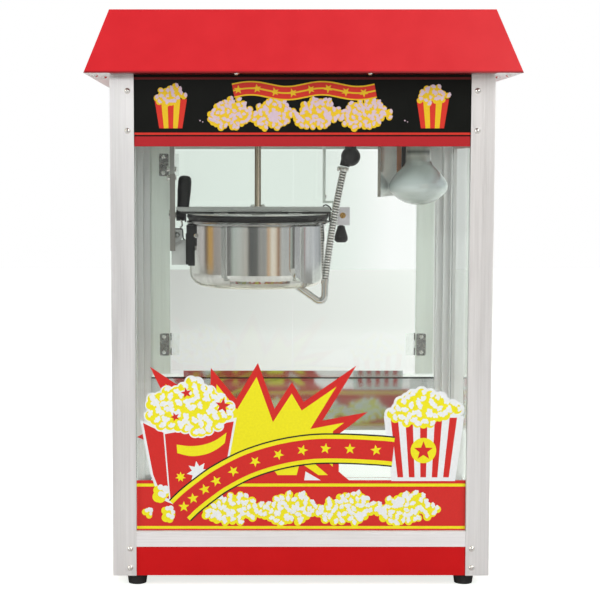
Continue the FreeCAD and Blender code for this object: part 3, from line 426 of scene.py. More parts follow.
ceramic = surface("ceramic", (0.76, 0.74, 0.68), 0.30, scale=160.0, variation=0.05, bump=0.15,
                  bump_scale=900.0, coat=0.3)
rubber = surface("foot_rubber", grey(0.018), 0.78, scale=300.0, variation=0.25, bump=0.4,
                 bump_depth=0.12, bump_scale=2500.0)
brass = surface("brass", (0.66, 0.40, 0.13), 0.28, metallic=1.0, scale=500.0, variation=0.12,
                bump=0.2, bump_scale=2600.0)
# painted reflection: a warm tint towards the pot's bottom. Painted shade: the rolled rim, above about
# 475 mm, is darker.
kettle_steel = banded(
    surface("kettle_steel", (0.80, 0.80, 0.79), 0.065, **MIRROR),
    "Z", 388.0, 482.0, [(0.00, (0.95, 0.88, 0.74)), (0.10, (1.0, 0.98, 0.95)), (0.90, grey(1.0)),
                        (0.925, grey(0.62)), (0.96, grey(0.50)), (1.0, grey(0.62))])
# painted shade: below 493.4 mm the low wall is near black, where the gap under the bar falls in shadow.
# The face is at 0.66, and the screw heads above 500 mm are at full tone.
bar_steel = banded(
    surface("bar_steel", (0.86, 0.88, 0.86), 0.30, metallic=0.9, stretch=ALONG_X, **BRUSHED),
    "Z", 480.0, 502.0, [(0.0, grey(0.10)), (0.600, grey(0.10)), (0.618, grey(0.66)),
                        (0.905, grey(0.66)), (0.925, grey(1.0))])
hinge_zinc = banded(
    surface("hinge_zinc", (0.86, 0.86, 0.84), 0.26, metallic=0.9, scale=300.0, variation=0.08,
            bump=0.15, bump_scale=2200.0),
    "Y", 167.8, 169.4, [(0.0, grey(1.0)), (0.60, grey(1.0)), (0.72, grey(0.42))])
screen_steel = banded(
    surface("screen_steel", (0.95, 0.97, 0.95), 0.16, metallic=0.75, scale=200.0, stretch=UPRIGHT,
            variation=0.04, rough_spread=0.03, bump=0.05, bump_scale=900.0),
    "Y", -106.5, -103.5, [(0.0, (0.42, 0.39, 0.35)), (0.50, (0.42, 0.39, 0.35)), (0.60, grey(1.0))])
strap_steel = surface("strap_steel", (0.50, 0.50, 0.48), 0.32, metallic=0.85, scale=300.0,
                      stretch=UPRIGHT, variation=0.10, bump=0.18, bump_scale=1600.0)
pale_steel = surface("pale_steel", (0.86, 0.91, 0.86), 0.40, metallic=0.15, scale=300.0,
                     stretch=UPRIGHT, variation=0.06, bump=0.12, bump_scale=1400.0)
block_steel = surface("block_steel", (0.84, 0.80, 0.84), 0.34, metallic=0.35, scale=340.0,
                      variation=0.08, bump=0.15, bump_scale=1800.0)
strap_plate = banded(
    surface("strap_plate", (0.78, 0.79, 0.78), 0.34, metallic=0.7, scale=300.0, stretch=UPRIGHT,
            variation=0.08, bump=0.15, bump_scale=1600.0),
    "Y", -17.0, 7.0, [(0.0, (0.40, 0.37, 0.35)), (0.14, (0.40, 0.37, 0.35)), (0.18, grey(1.0))])
deck_metal = surface("deck_metal", (0.96, 0.97, 0.96), 0.42, metallic=0.0, scale=90.0,
                     stretch=ALONG_X, variation=0.05, bump=0.12, bump_scale=900.0)
copper = surface("copper_strip", (0.56, 0.27, 0.16), 0.34, metallic=1.0, scale=260.0,
                 stretch=UPRIGHT, variation=0.16, bump=0.2, bump_scale=1800.0)


def glass_material(name, colour, edge):
    """Clear pane. Shadow rays pass it, so that the inside is lit."""
    material = bpy.data.materials.new(name)
    graph = Graph(material)
    graph.join(graph.ramp(graph.noise(9.0, detail=2.0), [(0.30, colour), (0.70, edge)]),
               graph.inputs["Base Color"])
    graph.set(roughness=0.0, transmission=1.0, ior=1.45)
    clear = graph.new("BsdfTransparent")
    clear.inputs["Color"].default_value = (0.93, 0.96, 0.94, 1.0)
    graph.mixed_shaders(graph.new("LightPath").outputs["Is Shadow Ray"], graph.shader.outputs["BSDF"],
                        clear.outputs["BSDF"], "Material Output")
    return material


cabinet_glass = glass_material("cabinet_glass", (0.955, 0.985, 0.968), (0.965, 0.988, 0.972))
door_clear = glass_material("door_clear", (0.98, 0.985, 0.98), (0.985, 0.99, 0.985))


def clear_leaf_material():
    """Thin clear plastic that barely shows on the pane it is bonded to."""
    material = surface("clear_leaf", (0.84, 0.88, 0.85), 0.22, scale=200.0, variation=0.04, bump=0.05,
                       bump_scale=900.0)
    Graph(material).set(alpha=0.16)
    return material


BULB_FACE_Z, BULB_CAP_Z = 0.504, 0.600


def bulb_material():
    """Frosted reflector bowl that turns to clear grey glass up its neck. Its lowest edge is darker as
    painted shade, and the paler band near its face is a painted highlight.
    """
    material = bpy.data.materials.new("bulb_glass")
    graph = Graph(material)
    height = graph.ranged(graph.axis("Z"), BULB_FACE_Z, BULB_CAP_Z)
    # painted shade at the lowest edge (0.00), and a painted highlight across the bowl (0.17 to 0.34)
    colours = graph.ramp(height, [
        (0.00, (0.50, 0.55, 0.51)), (0.17, (0.70, 0.75, 0.73)), (0.34, (0.74, 0.81, 0.82)),
        (0.60, (0.52, 0.56, 0.54)), (0.70, (0.64, 0.66, 0.60)), (0.76, (0.10, 0.11, 0.10)),
        (0.80, (0.42, 0.44, 0.38)), (1.00, (0.55, 0.56, 0.48))])
    graph.join(colours, graph.inputs["Base Color"])
    graph.join(graph.spread(graph.noise(70.0), 0.12, 0.24), graph.inputs["Roughness"])
    graph.relief(0.12, 0.1, graph.noise(400.0))
    graph.set(metallic=0.35, coat=0.5, coat_rough=0.04)
    return material


NODE_MATERIALS = {
    aluminium: "post_front_left post_front_right post_rear_left post_rear_right",
    aluminium_rail: "front_rail side_rails",
    stile_metal: "rear_stiles ceiling_plate",
    red_roof: "roof_canopy",
    red_base: "base_pan base_rear_panel side_fascia_left side_fascia_right",
    red_panel: "control_panel",
    black_panel: "sign_panel",
    cabinet_glass: "front_glass side_glass_left side_glass_right",
    door_clear: "door_left door_right",
    clear_leaf_material(): "door_hinges_left door_hinges_right",
    chrome: "frame_screws hanger_bolts",
    hinge_zinc: "hinge_plates",
    kettle_steel: "kettle_pot",
    polished: "terminal_cover conduit_pipe pivot_pins",
    pale_steel: "hanger_right",
    screen_steel: "lamp_shield",
    strap_steel: "hanger_left_channel",
    mirror_sheet: "rear_apron",
    bar_steel: "crossbar",
    block_steel: "pivot_block",
    deck_metal: "crumb_deck kernel_drawer",
    brushed: "hook_bracket stirrer_arms",
    strap_plate: "hanger_left_strap",
    lid_steel: "lid_front lid_rear",
    shaft_steel: "stirrer_shaft drive_fork",
    black_plastic: "kettle_handle latch_knob conduit_plug kettle_bumper switch_frames rocker_heat "
                   "rocker_motor rocker_light cord_gland",
    black_enamel: "kettle_collar",
    casting: "gearmotor",
    ceramic: "lamp_holder",
    bulb_material(): "lamp_bulb",
    rubber: "rubber_feet",
}
for finish, node_names in NODE_MATERIALS.items():
    for node_name in node_names.split():
        cad_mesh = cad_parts[node_name].data
        cad_mesh.materials.clear()
        cad_mesh.materials.append(finish)


# ---------- printed art
# Every layer is a closed flat prism. A higher layer is thicker about the same middle plane, so
# it shows on both sides of the ones below it.
LAYER = 0.05
FILM_MID = -174.20
SIGN_FACE = -177.0


def print_ink(name, colour):
    return surface(name, colour, 0.42, scale=350.0, variation=0.04, rough_spread=0.04, bump=0.06,
                   bump_depth=0.02, bump_scale=1800.0, coat=0.08, coat_rough=0.12, specular=0.3)


INK = {name: print_ink("ink_" + name, colour) for name, colour in (
    ("red", (0.640, 0.020, 0.016)),
    ("yellow", (0.860, 0.800, 0.010)),
    ("white", (0.82, 0.86, 0.88)),
    ("black", (0.012, 0.014, 0.012)),
    ("gold", (0.780, 0.520, 0.012)),
    ("lilac", (0.640, 0.500, 0.600)),
    ("sign_red", (0.640, 0.028, 0.014)),
    ("band_red", (0.430, 0.010, 0.016)),
    ("red_in_painted_shade", (0.130, 0.008, 0.008)),
)}


def signed_area(outline):
    """Area of a closed outline, positive when it runs anticlockwise."""
    sides = zip(outline, outline[1:] + outline[:1])
    return 0.5 * sum(ax * bz - bx * az for (ax, az), (bx, bz) in sides)


def flat_prisms(name, outlines, level, ink, on_sign=False):
    """One object from closed (x, z) outlines in millimetres, on the film or on the sign."""
    if on_sign:
        y0, y1 = SIGN_FACE - LAYER * level, SIGN_FACE + 0.02
    else:
        y0, y1 = FILM_MID - LAYER * level, FILM_MID + LAYER * level
    vertices, faces = [], []
    for outline in outlines:
        n, base = len(outline), len(vertices)
        points = outline if signed_area(outline) > 0 else outline[::-1]
        vertices += [Vector((x * MM, y0 * MM, z * MM)) for x, z in points]
        vertices += [Vector((x * MM, y1 * MM, z * MM)) for x, z in points]
        faces.append(tuple(range(base, base + n)))
        faces.append(tuple(reversed(range(base + n, base + 2 * n))))
        for i in range(n):
            j = (i + 1) % n
            faces.append((base + j, base + i, base + n + i, base + n + j))
    return mesh_object(name, vertices, faces, INK[ink])


def rectangle(x0, x1, z0, z1):
    return [(x0, z0), (x1, z0), (x1, z1), (x0, z1)]


def inset(points, amount):
    """Polygon moved inwards by amount, with mitred corners."""
    side = 1.0 if signed_area(points) > 0 else -1.0
    lines = []
    for (ax, az), (bx, bz) in zip(points, points[1:] + points[:1]):
        length = math.hypot(bx - ax, bz - az)
        nx, nz = -(bz - az) / length * side, (bx - ax) / length * side
        lines.append((nx, nz, nx * ax + nz * az + amount))
    result = []
    for (a, b, c), (d, e, f) in zip(lines[-1:] + lines[:-1], lines):
        det = a * e - b * d
        result.append(((c * e - b * f) / det, (a * f - c * d) / det))
    return result


def star(x, z, radius, points=5, depth=0.42, turn=0.0):
    outline = []
    for i in range(2 * points):
        a = math.radians(90.0 + turn) + math.pi * i / points
        r = radius if i % 2 == 0 else radius * depth
        outline.append((x + r * math.cos(a), z + r * math.sin(a)))
    return outline


def disc(x, z, radius, sides=20):
    angles = [2 * math.pi * i / sides for i in range(sides)]
    return [(x + radius * math.cos(a), z + radius * math.sin(a)) for a in angles]


SMALLEST_LOOP = 2.0             # mm2


def contours(circles, step):
    """Outer outlines of a union of circles (x, z, radius), traced on a grid of that step."""
    data = np.array(circles, float)
    pad = 2 * step
    x0, z0 = (data[:, 0] - data[:, 2]).min() - pad, (data[:, 1] - data[:, 2]).min() - pad
    x1, z1 = (data[:, 0] + data[:, 2]).max() + pad, (data[:, 1] + data[:, 2]).max() + pad
    xs, zs = np.arange(x0, x1 + step, step), np.arange(z0, z1 + step, step)
    grid_x, grid_z = np.meshgrid(xs, zs, indexing="ij")
    field = np.full(grid_x.shape, -1e3)
    for cx, cz, r in data:
        field = np.maximum(field, r - np.hypot(grid_x - cx, grid_z - cz))
    inside = field > 0
    corner = ((0, 0), (1, 0), (1, 1), (0, 1))
    count = sum(inside[a:inside.shape[0] - 1 + a, b:inside.shape[1] - 1 + b].astype(int)
                for a, b in corner)
    following, at = {}, {}
    for i, k in np.argwhere((count > 0) & (count < 4)):
        crossings = []
        for side in range(4):
            a = (i + corner[side][0], k + corner[side][1])
            b = (i + corner[(side + 1) % 4][0], k + corner[(side + 1) % 4][1])
            if inside[a] == inside[b]:
                continue
            t = field[a] / (field[a] - field[b])
            key = (min(a, b), max(a, b))
            at[key] = (xs[a[0]] + t * (xs[b[0]] - xs[a[0]]), zs[a[1]] + t * (zs[b[1]] - zs[a[1]]))
            crossings.append((key, bool(inside[a])))
        leaving = [key for key, was_inside in crossings if was_inside]
        entering = [key for key, was_inside in crossings if not was_inside]
        for out_key, in_key in zip(leaving, entering):
            following[out_key] = in_key
    loops = []
    while following:
        start = next(iter(following))
        loop, key = [], start
        while key in following:
            loop.append(at[key])
            key = following.pop(key)
        area = signed_area(loop)
        if abs(area) > SMALLEST_LOOP:
            loops.append((area, loop))
    largest = max(loops, key=lambda item: abs(item[0]))
    outward = 1.0 if largest[0] > 0 else -1.0
    return [thin_out(loop) for area, loop in loops if area * outward > 0]


def thin_out(loop, shortest=0.25):
    """Drop points that crowd the one before."""
    kept = [loop[0]]
    for point in loop[1:]:
        if math.hypot(point[0] - kept[-1][0], point[1] - kept[-1][1]) > shortest:
            kept.append(point)
    return kept


def popped_corn(rng, inside, box_, spacing, lobe):
    """Circles of a heap of popped corn: (base lobes, thin bright curls)."""
    x0, x1, z0, z1 = box_
    base, bright = [], []
    centres = []
    for _ in range(5000):
        x, z = rng.uniform(x0, x1), rng.uniform(z0, z1)
        if inside(x, z) and all(math.hypot(x - a, z - b) > spacing for a, b in centres):
            centres.append((x, z))
    for x, z in centres:
        base.append((x, z, lobe * rng.uniform(1.0, 1.2)))
        turn = rng.uniform(0, 2 * math.pi)
        bend = rng.choice((-1, 1)) * rng.uniform(0.5, 1.0)
        size = lobe * rng.uniform(0.30, 0.40)
        cx, cz = x + 0.30 * lobe, z + 0.36 * lobe
        for k in range(4):
            angle = turn + bend * (k - 1.5)
            bright.append((cx + lobe * 0.62 * math.cos(angle), cz + lobe * 0.62 * math.sin(angle), size))
        bright.append((cx, cz, size * 0.9))
    return base, bright


def inside_polygon(corners, x, z):
    hit = False
    for (ax, az), (bx, bz) in zip(corners, corners[1:] + corners[:1]):
        if (az > z) != (bz > z) and x < (bx - ax) * (z - az) / (bz - az) + ax:
            hit = not hit
    return hit


# Lumpy heap in a box of -1 to 1, wider than high on the page.
HEAP = [(-1.0, -0.35), (-0.92, 0.0), (-0.72, 0.22), (-0.62, 0.60), (-0.36, 0.72), (-0.20, 1.0),
        (0.08, 0.88), (0.30, 0.98), (0.50, 0.74), (0.60, 0.38), (0.84, 0.26), (1.0, 0.0),
        (0.93, -0.25), (0.72, -0.36), (0.52, -0.66), (0.32, -0.72), (0.15, -1.0), (-0.10, -0.86),
        (-0.40, -1.0), (-0.75, -0.78)]


def heap_of(rng, cx, cz, half_w, half_h, spacing, lobe):
    """Popped corn in a lumpy heap that fills the given box."""
    corners = [(cx + u * (half_w - lobe), cz + w * (half_h - lobe)) for u, w in HEAP]
    box_ = (cx - half_w, cx + half_w, cz - half_h, cz + half_h)
    return popped_corn(rng, lambda x, z: inside_polygon(corners, x, z), box_, spacing, lobe)


def eased(centre_line):
    """Smooth line of (x, z) points through the given ones."""
    points = []
    n = len(centre_line) - 1
    for i in range(n):
        p0 = Vector(centre_line[max(i - 1, 0)])
        p1, p2 = Vector(centre_line[i]), Vector(centre_line[i + 1])
        p3 = Vector(centre_line[min(i + 2, n)])
        for k in range(8):
            t = k / 8
            points.append(0.5 * ((2 * p1) + (p2 - p0) * t + (2 * p0 - 5 * p1 + 4 * p2 - p3) * t * t
                                 + (3 * p1 - p0 - 3 * p2 + p3) * t ** 3))
    return [tuple(p) for p in points] + [tuple(centre_line[-1])]


def ribbon_outline(centre_line, half_width):
    """Band of constant half width along a smooth centre line of (x, z) points."""
    points = [Vector(p) for p in eased(centre_line)]
    upper, lower = [], []
    for i, p in enumerate(points):
        d = points[min(i + 1, len(points) - 1)] - points[max(i - 1, 0)]
        normal = Vector((-d.y, d.x)).normalized()
        upper.append(tuple(p + normal * half_width))
        lower.append(tuple(p - normal * half_width))
    return lower + list(reversed(upper)), points


FILM_HALF = 218.4
BAND_LOW, BAND_HIGH = 74.6, 142.0
BURST = [(-57.5, 299.0), (-35.5, 238.0), (-12.5, 273.5), (3.0, 247.0), (72.5, 295.5), (28.0, 222.0),
         (88.0, 233.5), (50.0, 204.0), (50.0, 141.0), (-170.0, 141.0), (-172.0, 182.0),
         (-217.5, 200.0), (-168.0, 228.0), (-200.0, 294.0), (-158.0, 266.0), (-120.5, 256.0),
         (-119.5, 292.5), (-86.0, 251.0)]
TUB = [(-213.5, 223.0), (-200.0, 150.0), (-188.0, 117.0), (-166.0, 108.0), (-106.0, 112.0),
       (-85.5, 226.0), (-186.0, 214.0)]
RIBBON_LINE = [(-161.0, 101.0), (-148.0, 113.8), (-128.0, 129.9), (-106.4, 145.1), (-70.9, 163.5),
               (-30.1, 176.6), (12.0, 183.6), (52.8, 184.5), (99.2, 182.4), (122.0, 180.4)]
CARTON_FRONT = [(128.0, 146.0), (118.0, 226.0), (206.0, 226.0), (196.0, 146.0)]


def film_art():
    rng = random.Random(11)
    layers = []

    def add(name, outlines, level, ink):
        layers.append(flat_prisms(name, outlines, level, ink))

    burst_yellow = inset(BURST, 8.0)
    add("film_burst_red", [BURST], 1.0, "red")
    add("film_burst_yellow", [burst_yellow], 2.0, "yellow")
    add("film_flames_red", [[(-66.0, 140.0), (-41.7, 162.0), (-24.0, 140.0)],
                            [(-8.0, 140.0), (-1.8, 166.0), (36.0, 140.0)],
                            [(28.0, 172.0), (66.0, 140.0), (46.0, 140.0), (16.0, 166.0)]], 2.5, "red")
    add("film_flames_white", [[(4.0, 141.5), (5.8, 154.0), (27.0, 141.5)]], 2.8, "white")
    add("film_band_red", [rectangle(-FILM_HALF, FILM_HALF, BAND_LOW, BAND_HIGH)], 3.0, "red")
    add("film_band_lines", [rectangle(-FILM_HALF, FILM_HALF, 133.6, 137.6),
                            rectangle(-FILM_HALF, FILM_HALF, 76.6, 80.2)], 4.0, "yellow")

    base, bright = [], []
    for cx in (-88.0, -12.0, 65.0, 143.0):
        b, w = heap_of(rng, cx, 104.0, 48.0, 25.0, 6.2, 4.8)
        base += b
        bright += w
    add("film_corn_yellow", contours(base, 0.8), 5.0, "yellow")
    add("film_corn_white", contours(bright, 0.7), 6.0, "white")
    base, bright = [], []
    kernels = ((-186.0, 122.0, 11.0), (-204.0, 98.5, 6.5), (-176.0, 96.0, 9.0))
    for kx, kz, size in kernels:
        for k in range(5):
            a = 2 * math.pi * k / 5 + kx + rng.uniform(-0.6, 0.6)
            reach = size * rng.uniform(0.30, 0.78)
            px, pz = kx + reach * math.cos(a), kz + reach * math.sin(a)
            base.append((px, pz, size * rng.uniform(0.54, 0.68)))
            bright.append((px + 0.34 * size, pz + 0.36 * size, size * rng.uniform(0.30, 0.42)))
    add("film_kernels_yellow", contours(base, 0.8), 8.0, "yellow")
    add("film_kernels_white", contours(bright, 0.7), 9.0, "white")

    add("film_tub_white", [TUB], 4.2, "white")
    add("film_tub_red", [[(-209.5, 219.0), (-196.5, 150.0), (-185.0, 120.0), (-175.5, 117.0),
                          (-182.6, 206.0)],
                         [(-180.6, 204.0), (-173.6, 116.0), (-164.0, 110.8), (-108.0, 114.6),
                          (-89.4, 221.0)]], 4.5, "red")
    swoosh = eased([(-165.0, 190.0), (-148.0, 188.0), (-131.1, 189.5), (-114.0, 195.5), (-99.0, 206.0)])
    swoosh += eased([(-101.3, 192.1), (-111.5, 184.0), (-126.5, 177.0), (-146.0, 174.5),
                     (-164.3, 178.5)])
    add("film_tub_swoosh", [swoosh], 4.8, "yellow")
    add("film_tub_flash", [star(-137.0, 153.0, 15.0, points=8, depth=0.55, turn=9)], 4.8, "white")
    add("film_tub_spark", [star(-160.0, 146.5, 7.0, points=7, depth=0.5)], 4.8, "yellow")
    heap = [(-203.0, 240.0), (-196.0, 254.0), (-172.0, 264.0), (-142.0, 275.0), (-121.0, 264.0),
            (-104.0, 249.0), (-91.0, 237.0), (-98.0, 221.0), (-117.0, 211.0), (-144.0, 205.0),
            (-180.0, 212.5), (-197.0, 217.0)]

    b, w = popped_corn(rng, lambda x, z: inside_polygon(heap, x, z), (-205.0, -90.0, 204.0, 276.0),
                       8.0, 6.0)
    add("film_heap_edge", contours([(x, z, r + 1.9) for x, z, r in b], 0.8), 7.0, "white")
    add("film_heap_yellow", contours(b, 0.8), 8.0, "yellow")
    add("film_heap_white", contours(w, 0.7), 9.0, "white")
    add("film_heap_stars", [star(-152.0, 259.0, 7.5, turn=12), star(-104.0, 242.0, 10.5, turn=-8),
                            star(-167.0, 227.0, 6.5, turn=20)], 10.0, "red")

    for half, level, ink in ((20.5, 10.0, "black"), (18.6, 11.0, "yellow"), (13.2, 12.0, "red")):
        outline, line = ribbon_outline(RIBBON_LINE, half)
        add("film_ribbon_%s" % ink, [outline], level, ink)
    beads = [line[i] for i in range(4, len(line) - 3, 6)]
    add("film_ribbon_stars", [star(p.x, p.y, 7.6, turn=8 * i) for i, p in enumerate(beads)], 13.0,
        "yellow")

    add("film_carton_white", [[(120.0, 141.0), (109.0, 228.0), (215.5, 228.0), (204.5, 141.0)]], 5.0,
        "white")
    add("film_carton_red", [CARTON_FRONT], 6.0, "red")
    (low_x, low_z), (top_x, top_z) = CARTON_FRONT[:2]
    low_step, top_step = (CARTON_FRONT[3][0] - low_x) / 9, (CARTON_FRONT[2][0] - top_x) / 9
    add("film_carton_stripes",
        [[(low_x + low_step * k, low_z), (low_x + low_step * (k + 1), low_z),
          (top_x + top_step * (k + 1), top_z), (top_x + top_step * k, top_z)]
         for k in range(1, 8, 2)], 7.0, "white")
    b, w = heap_of(rng, 162.0, 238.0, 50.0, 28.0, 7.4, 5.6)
    add("film_carton_edge", contours([(x, z, r + 3.4) for x, z, r in b], 0.8), 5.5, "white")
    add("film_carton_corn_yellow", contours(b, 0.8), 8.0, "yellow")
    add("film_carton_corn_white", contours(w, 0.7), 9.0, "white")
    add("film_carton_badge", [disc(162.0, 182.0, 17.0, 40)], 8.0, "yellow")
    add("film_carton_star", [star(162.0, 181.5, 13.0)], 9.0, "red")
    for layer in layers:
        place(layer, "cabinet", "film")
    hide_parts("glass_film")


def sign_art():
    rng = random.Random(5)
    layers = []

    def add(name, outlines, level, ink):
        layers.append(flat_prisms(name, outlines, level, ink, on_sign=True))

    # painted shade: the printed red top line is darkened where the eave's shadow falls
    add("sign_line_top", [rectangle(-FILM_HALF, FILM_HALF, 669.4, 672.4)], 1.0, "red_in_painted_shade")
    add("sign_line_low", [rectangle(-FILM_HALF, FILM_HALF, 598.0, 601.0)], 1.0, "sign_red")
    add("sign_band", [rectangle(-FILM_HALF, FILM_HALF, 583.1, 596.0)], 1.0, "band_red")
    base, bright = [], []
    for cx, half_w in ((-92.0, 34.0), (-37.0, 34.0), (21.0, 36.0), (82.0, 38.0)):
        b, w = heap_of(rng, cx, 625.5, half_w, 23.5, 4.9, 3.7)
        base += b
        bright += w
    add("sign_corn_gold", contours(base, 0.7), 2.0, "gold")
    add("sign_corn_lilac", contours(bright, 0.6), 3.0, "lilac")
    wave = [(-90.0 + 15.4 * i, 655.0 + 3.2 * math.sin(i * math.pi / 3)) for i in range(13)]
    for half, level, ink in ((9.4, 4.0, "gold"), (7.6, 5.0, "sign_red"), (1.0, 6.0, "gold")):
        outline, line = ribbon_outline(wave, half)
        add("sign_ribbon_%d" % level, [outline], level, ink)
    add("sign_ribbon_stars", [star(p.x, p.y, 6.0, turn=6 * i)
                              for i, p in enumerate(line[4:-2:12])], 7.0, "gold")
    for side in (-1, 1):
        cx = side * 170.0 - 1.0
        add("sign_box_gold_%d" % (side + 1),
            [[(cx - 15.0, 606.5), (cx - 21.0, 644.0), (cx + 21.0, 644.0), (cx + 15.0, 606.5)]], 1.0,
            "gold")
        stripes = []
        for k in range(0, 5, 2):
            stripes.append([(cx - 15 + 6 * k, 606.5), (cx - 15 + 6 * (k + 1), 606.5),
                            (cx - 21 + 8.4 * (k + 1), 644.0), (cx - 21 + 8.4 * k, 644.0)])
        add("sign_box_red_%d" % (side + 1), stripes, 2.0, "sign_red")
        b, w = heap_of(rng, cx, 649.5, 24.0, 15.5, 5.2, 3.7)
        add("sign_box_corn_gold_%d" % (side + 1), contours(b, 0.7), 3.0, "gold")
        add("sign_box_corn_lilac_%d" % (side + 1), contours(w, 0.6), 4.0, "lilac")
        add("sign_kernels_%d" % (side + 1),
            [disc(side * 133.0 + dx, z, r, 12) for dx, z, r in ((0.0, 616.5, 0.9), (3.5, 614.8, 0.7))],
            1.0, "lilac")
    for layer in layers:
        place(layer, "cabinet", "black_sign")


film_art()
sign_art()


# ---------- conduit hose
HOSE_ROUTE = [(0.0375, -0.048, 0.398), (0.0461, -0.048, 0.480), (0.0635, -0.048, 0.5565)]
HOSE_R = 5.3 * MM


def spline_points(points, resolution=40):
    """Points along the NURBS line through the route's control points."""
    curve = bpy.data.curves.new("route", "CURVE")
    curve.dimensions = "3D"
    spline = curve.splines.new("NURBS")
    spline.points.add(len(points) - 1)
    for p, co in zip(spline.points, points):
        p.co = (*co, 1.0)
    spline.order_u = 3
    spline.use_endpoint_u = True
    spline.resolution_u = resolution
    holder = link(bpy.data.objects.new("route", curve))
    bpy.context.view_layer.update()
    mesh = bpy.data.meshes.new_from_object(holder)
    line = [v.co.copy() for v in mesh.vertices]
    bpy.data.objects.remove(holder)
    return line


def along(line, distance):
    """Point and direction at a distance along a line of points."""
    travelled = 0.0
    for a, b in zip(line, line[1:]):
        step = (b - a).length
        if travelled + step >= distance:
            return a.lerp(b, (distance - travelled) / step), (b - a).normalized()
        travelled += step
    return line[-1], (line[-1] - line[-2]).normalized()


def conduit_hose():
    line = spline_points(HOSE_ROUTE)
    total = sum((b - a).length for a, b in zip(line, line[1:]))
    pitch = 3.7 * MM
    turns = int(total / pitch)
    profile = ((0.00, 0.80), (0.10, 0.80), (0.22, 0.97), (0.34, 1.00), (0.62, 1.00), (0.74, 0.97),
               (0.88, 0.80))
    stations, grooves = [], []
    for i in range(turns):
        for share, size in profile:
            centre, direction = along(line, total * (i + share) / turns)
            grooves.append(size < 0.9)
            stations.append((centre, direction, HOSE_R * size))
    stations.append((line[-1], (line[-1] - line[-2]).normalized(), HOSE_R * 0.8))
    vertices, faces = tube_mesh(stations, 24)
    hose = mesh_object("conduit_hose_corrugated", vertices, faces, hose_metal, 25.0)
    hose.data.materials.append(hose_groove)
    for ring, groove in enumerate(grooves):
        for face in hose.data.polygons[24 * ring:24 * (ring + 1)]:
            face.material_index = 1 if groove else 0
    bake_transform(hose)
    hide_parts("conduit_hose")

    top, top_way = line[-1], (line[-1] - line[-2]).normalized()
    clamp = turned("hose_clamp", top - top_way * 5.5 * MM, top_way,
                   [(0, 5.5), (0, 6.5), (0.6, 6.9), (4.6, 6.9), (5.2, 6.5), (5.2, 5.5)], chrome)
    place(clamp, "cabinet", "bright_screws")
    ear = turned("hose_clamp_screw", top - top_way * 3.0 * MM + Vector((-0.0052, -0.001, 0.0)),
                 (-1, -0.15, 0.1), [(0, 2.0), (2.0, 2.0), (2.0, 3.4), (3.4, 3.4), (4.2, 2.6),
                                    (4.4, 1.4)], chrome, 18)
    place(ear, "cabinet", "bright_screws")
    low, low_way = line[0], (line[1] - line[0]).normalized()
    ferrule = turned("hose_ferrule", low - low_way * 5.0 * MM, low_way,
                     [(0, 5.05), (0.3, 5.5), (7.2, 5.5), (7.6, 5.4)], polished)
    place(ferrule, "kettle", "polished_steel")


conduit_hose()


# ---------- small fittings
def bent_wire(name, points, radius, material):
    """Round wire through the points, in mm, eased at its bends."""
    line = spline_points([tuple(c * MM for c in p) for p in points], 8)
    stations = []
    for i, p in enumerate(line):
        way = line[min(i + 1, len(line) - 1)] - line[max(i - 1, 0)]
        stations.append((p, way.normalized(), radius * MM))
    vertices, faces = tube_mesh(stations, 12)
    return mesh_object(name, vertices, faces, material, 40.0)


def small_fittings():
    screw_ring = turned("pivot_screw_brass", (0.064, -0.0102, 0.488), (0, -1, 0),
                        [(0, 4.2), (0.6, 4.2), (1.0, 3.8), (1.0, 1.9), (0.4, 1.6)], brass, 24)
    place(screw_ring, "cabinet", "bright_screws")
    strap = soft_box("lamp_strap_copper", (136.5, -42.0, 549.0), (143.0, -40.6, 599.6), 0.3, copper)
    place(strap, "cabinet", "bright_screws")
    dark = soft_box("lamp_strap_insulator", (143.6, -41.0, 556.0), (149.2, -38.0, 599.6), 1.2,
                    black_plastic)
    place(dark, "cabinet", "black_plastic")
    stud = turned("pot_stud", (-0.1426, -0.0436, 0.461), (0, -1, 0),
                  [(0, 2.0), (1.4, 2.0), (1.4, 3.0), (2.6, 3.0), (3.6, 2.0)], chrome, 20)
    place(stud, "kettle", "bright_screws")
    rivet = turned("cover_rivet", (0.0073, -0.0735, 0.4005), (0.65, -0.76, 0),
                   [(0, 2.0), (0.8, 1.9), (1.5, 0.9)], chrome, 16)
    place(rivet, "kettle", "polished_steel")
    wire = bent_wire("hook_wire", [(-175.4, -13.4, 469.3), (-163.6, -13.4, 469.3),
                                   (-162.2, -13.4, 467.8), (-161.8, -13.4, 456.0),
                                   (-160.6, -13.4, 454.2), (-159.4, -13.4, 453.8)],
                     0.85, black_plastic)
    place(wire, "cabinet", "black_plastic")
    link_ = bent_wire("hanger_link", [(-164.4, -13.2, 482.0), (-162.9, -13.2, 477.0),
                                      (-163.2, -13.2, 472.6), (-166.0, -13.2, 470.7)], 1.2, chrome)
    place(link_, "cabinet", "bright_screws")
    clip = bent_wire("bar_end_clip", [(36.0, -12.0, 501.0), (39.0, -12.5, 503.6), (43.0, -13.5, 501.6),
                                      (46.4, -14.6, 499.0), (47.8, -15.2, 495.0)], 0.9, black_plastic)
    place(clip, "kettle", "black_plastic")


small_fittings()


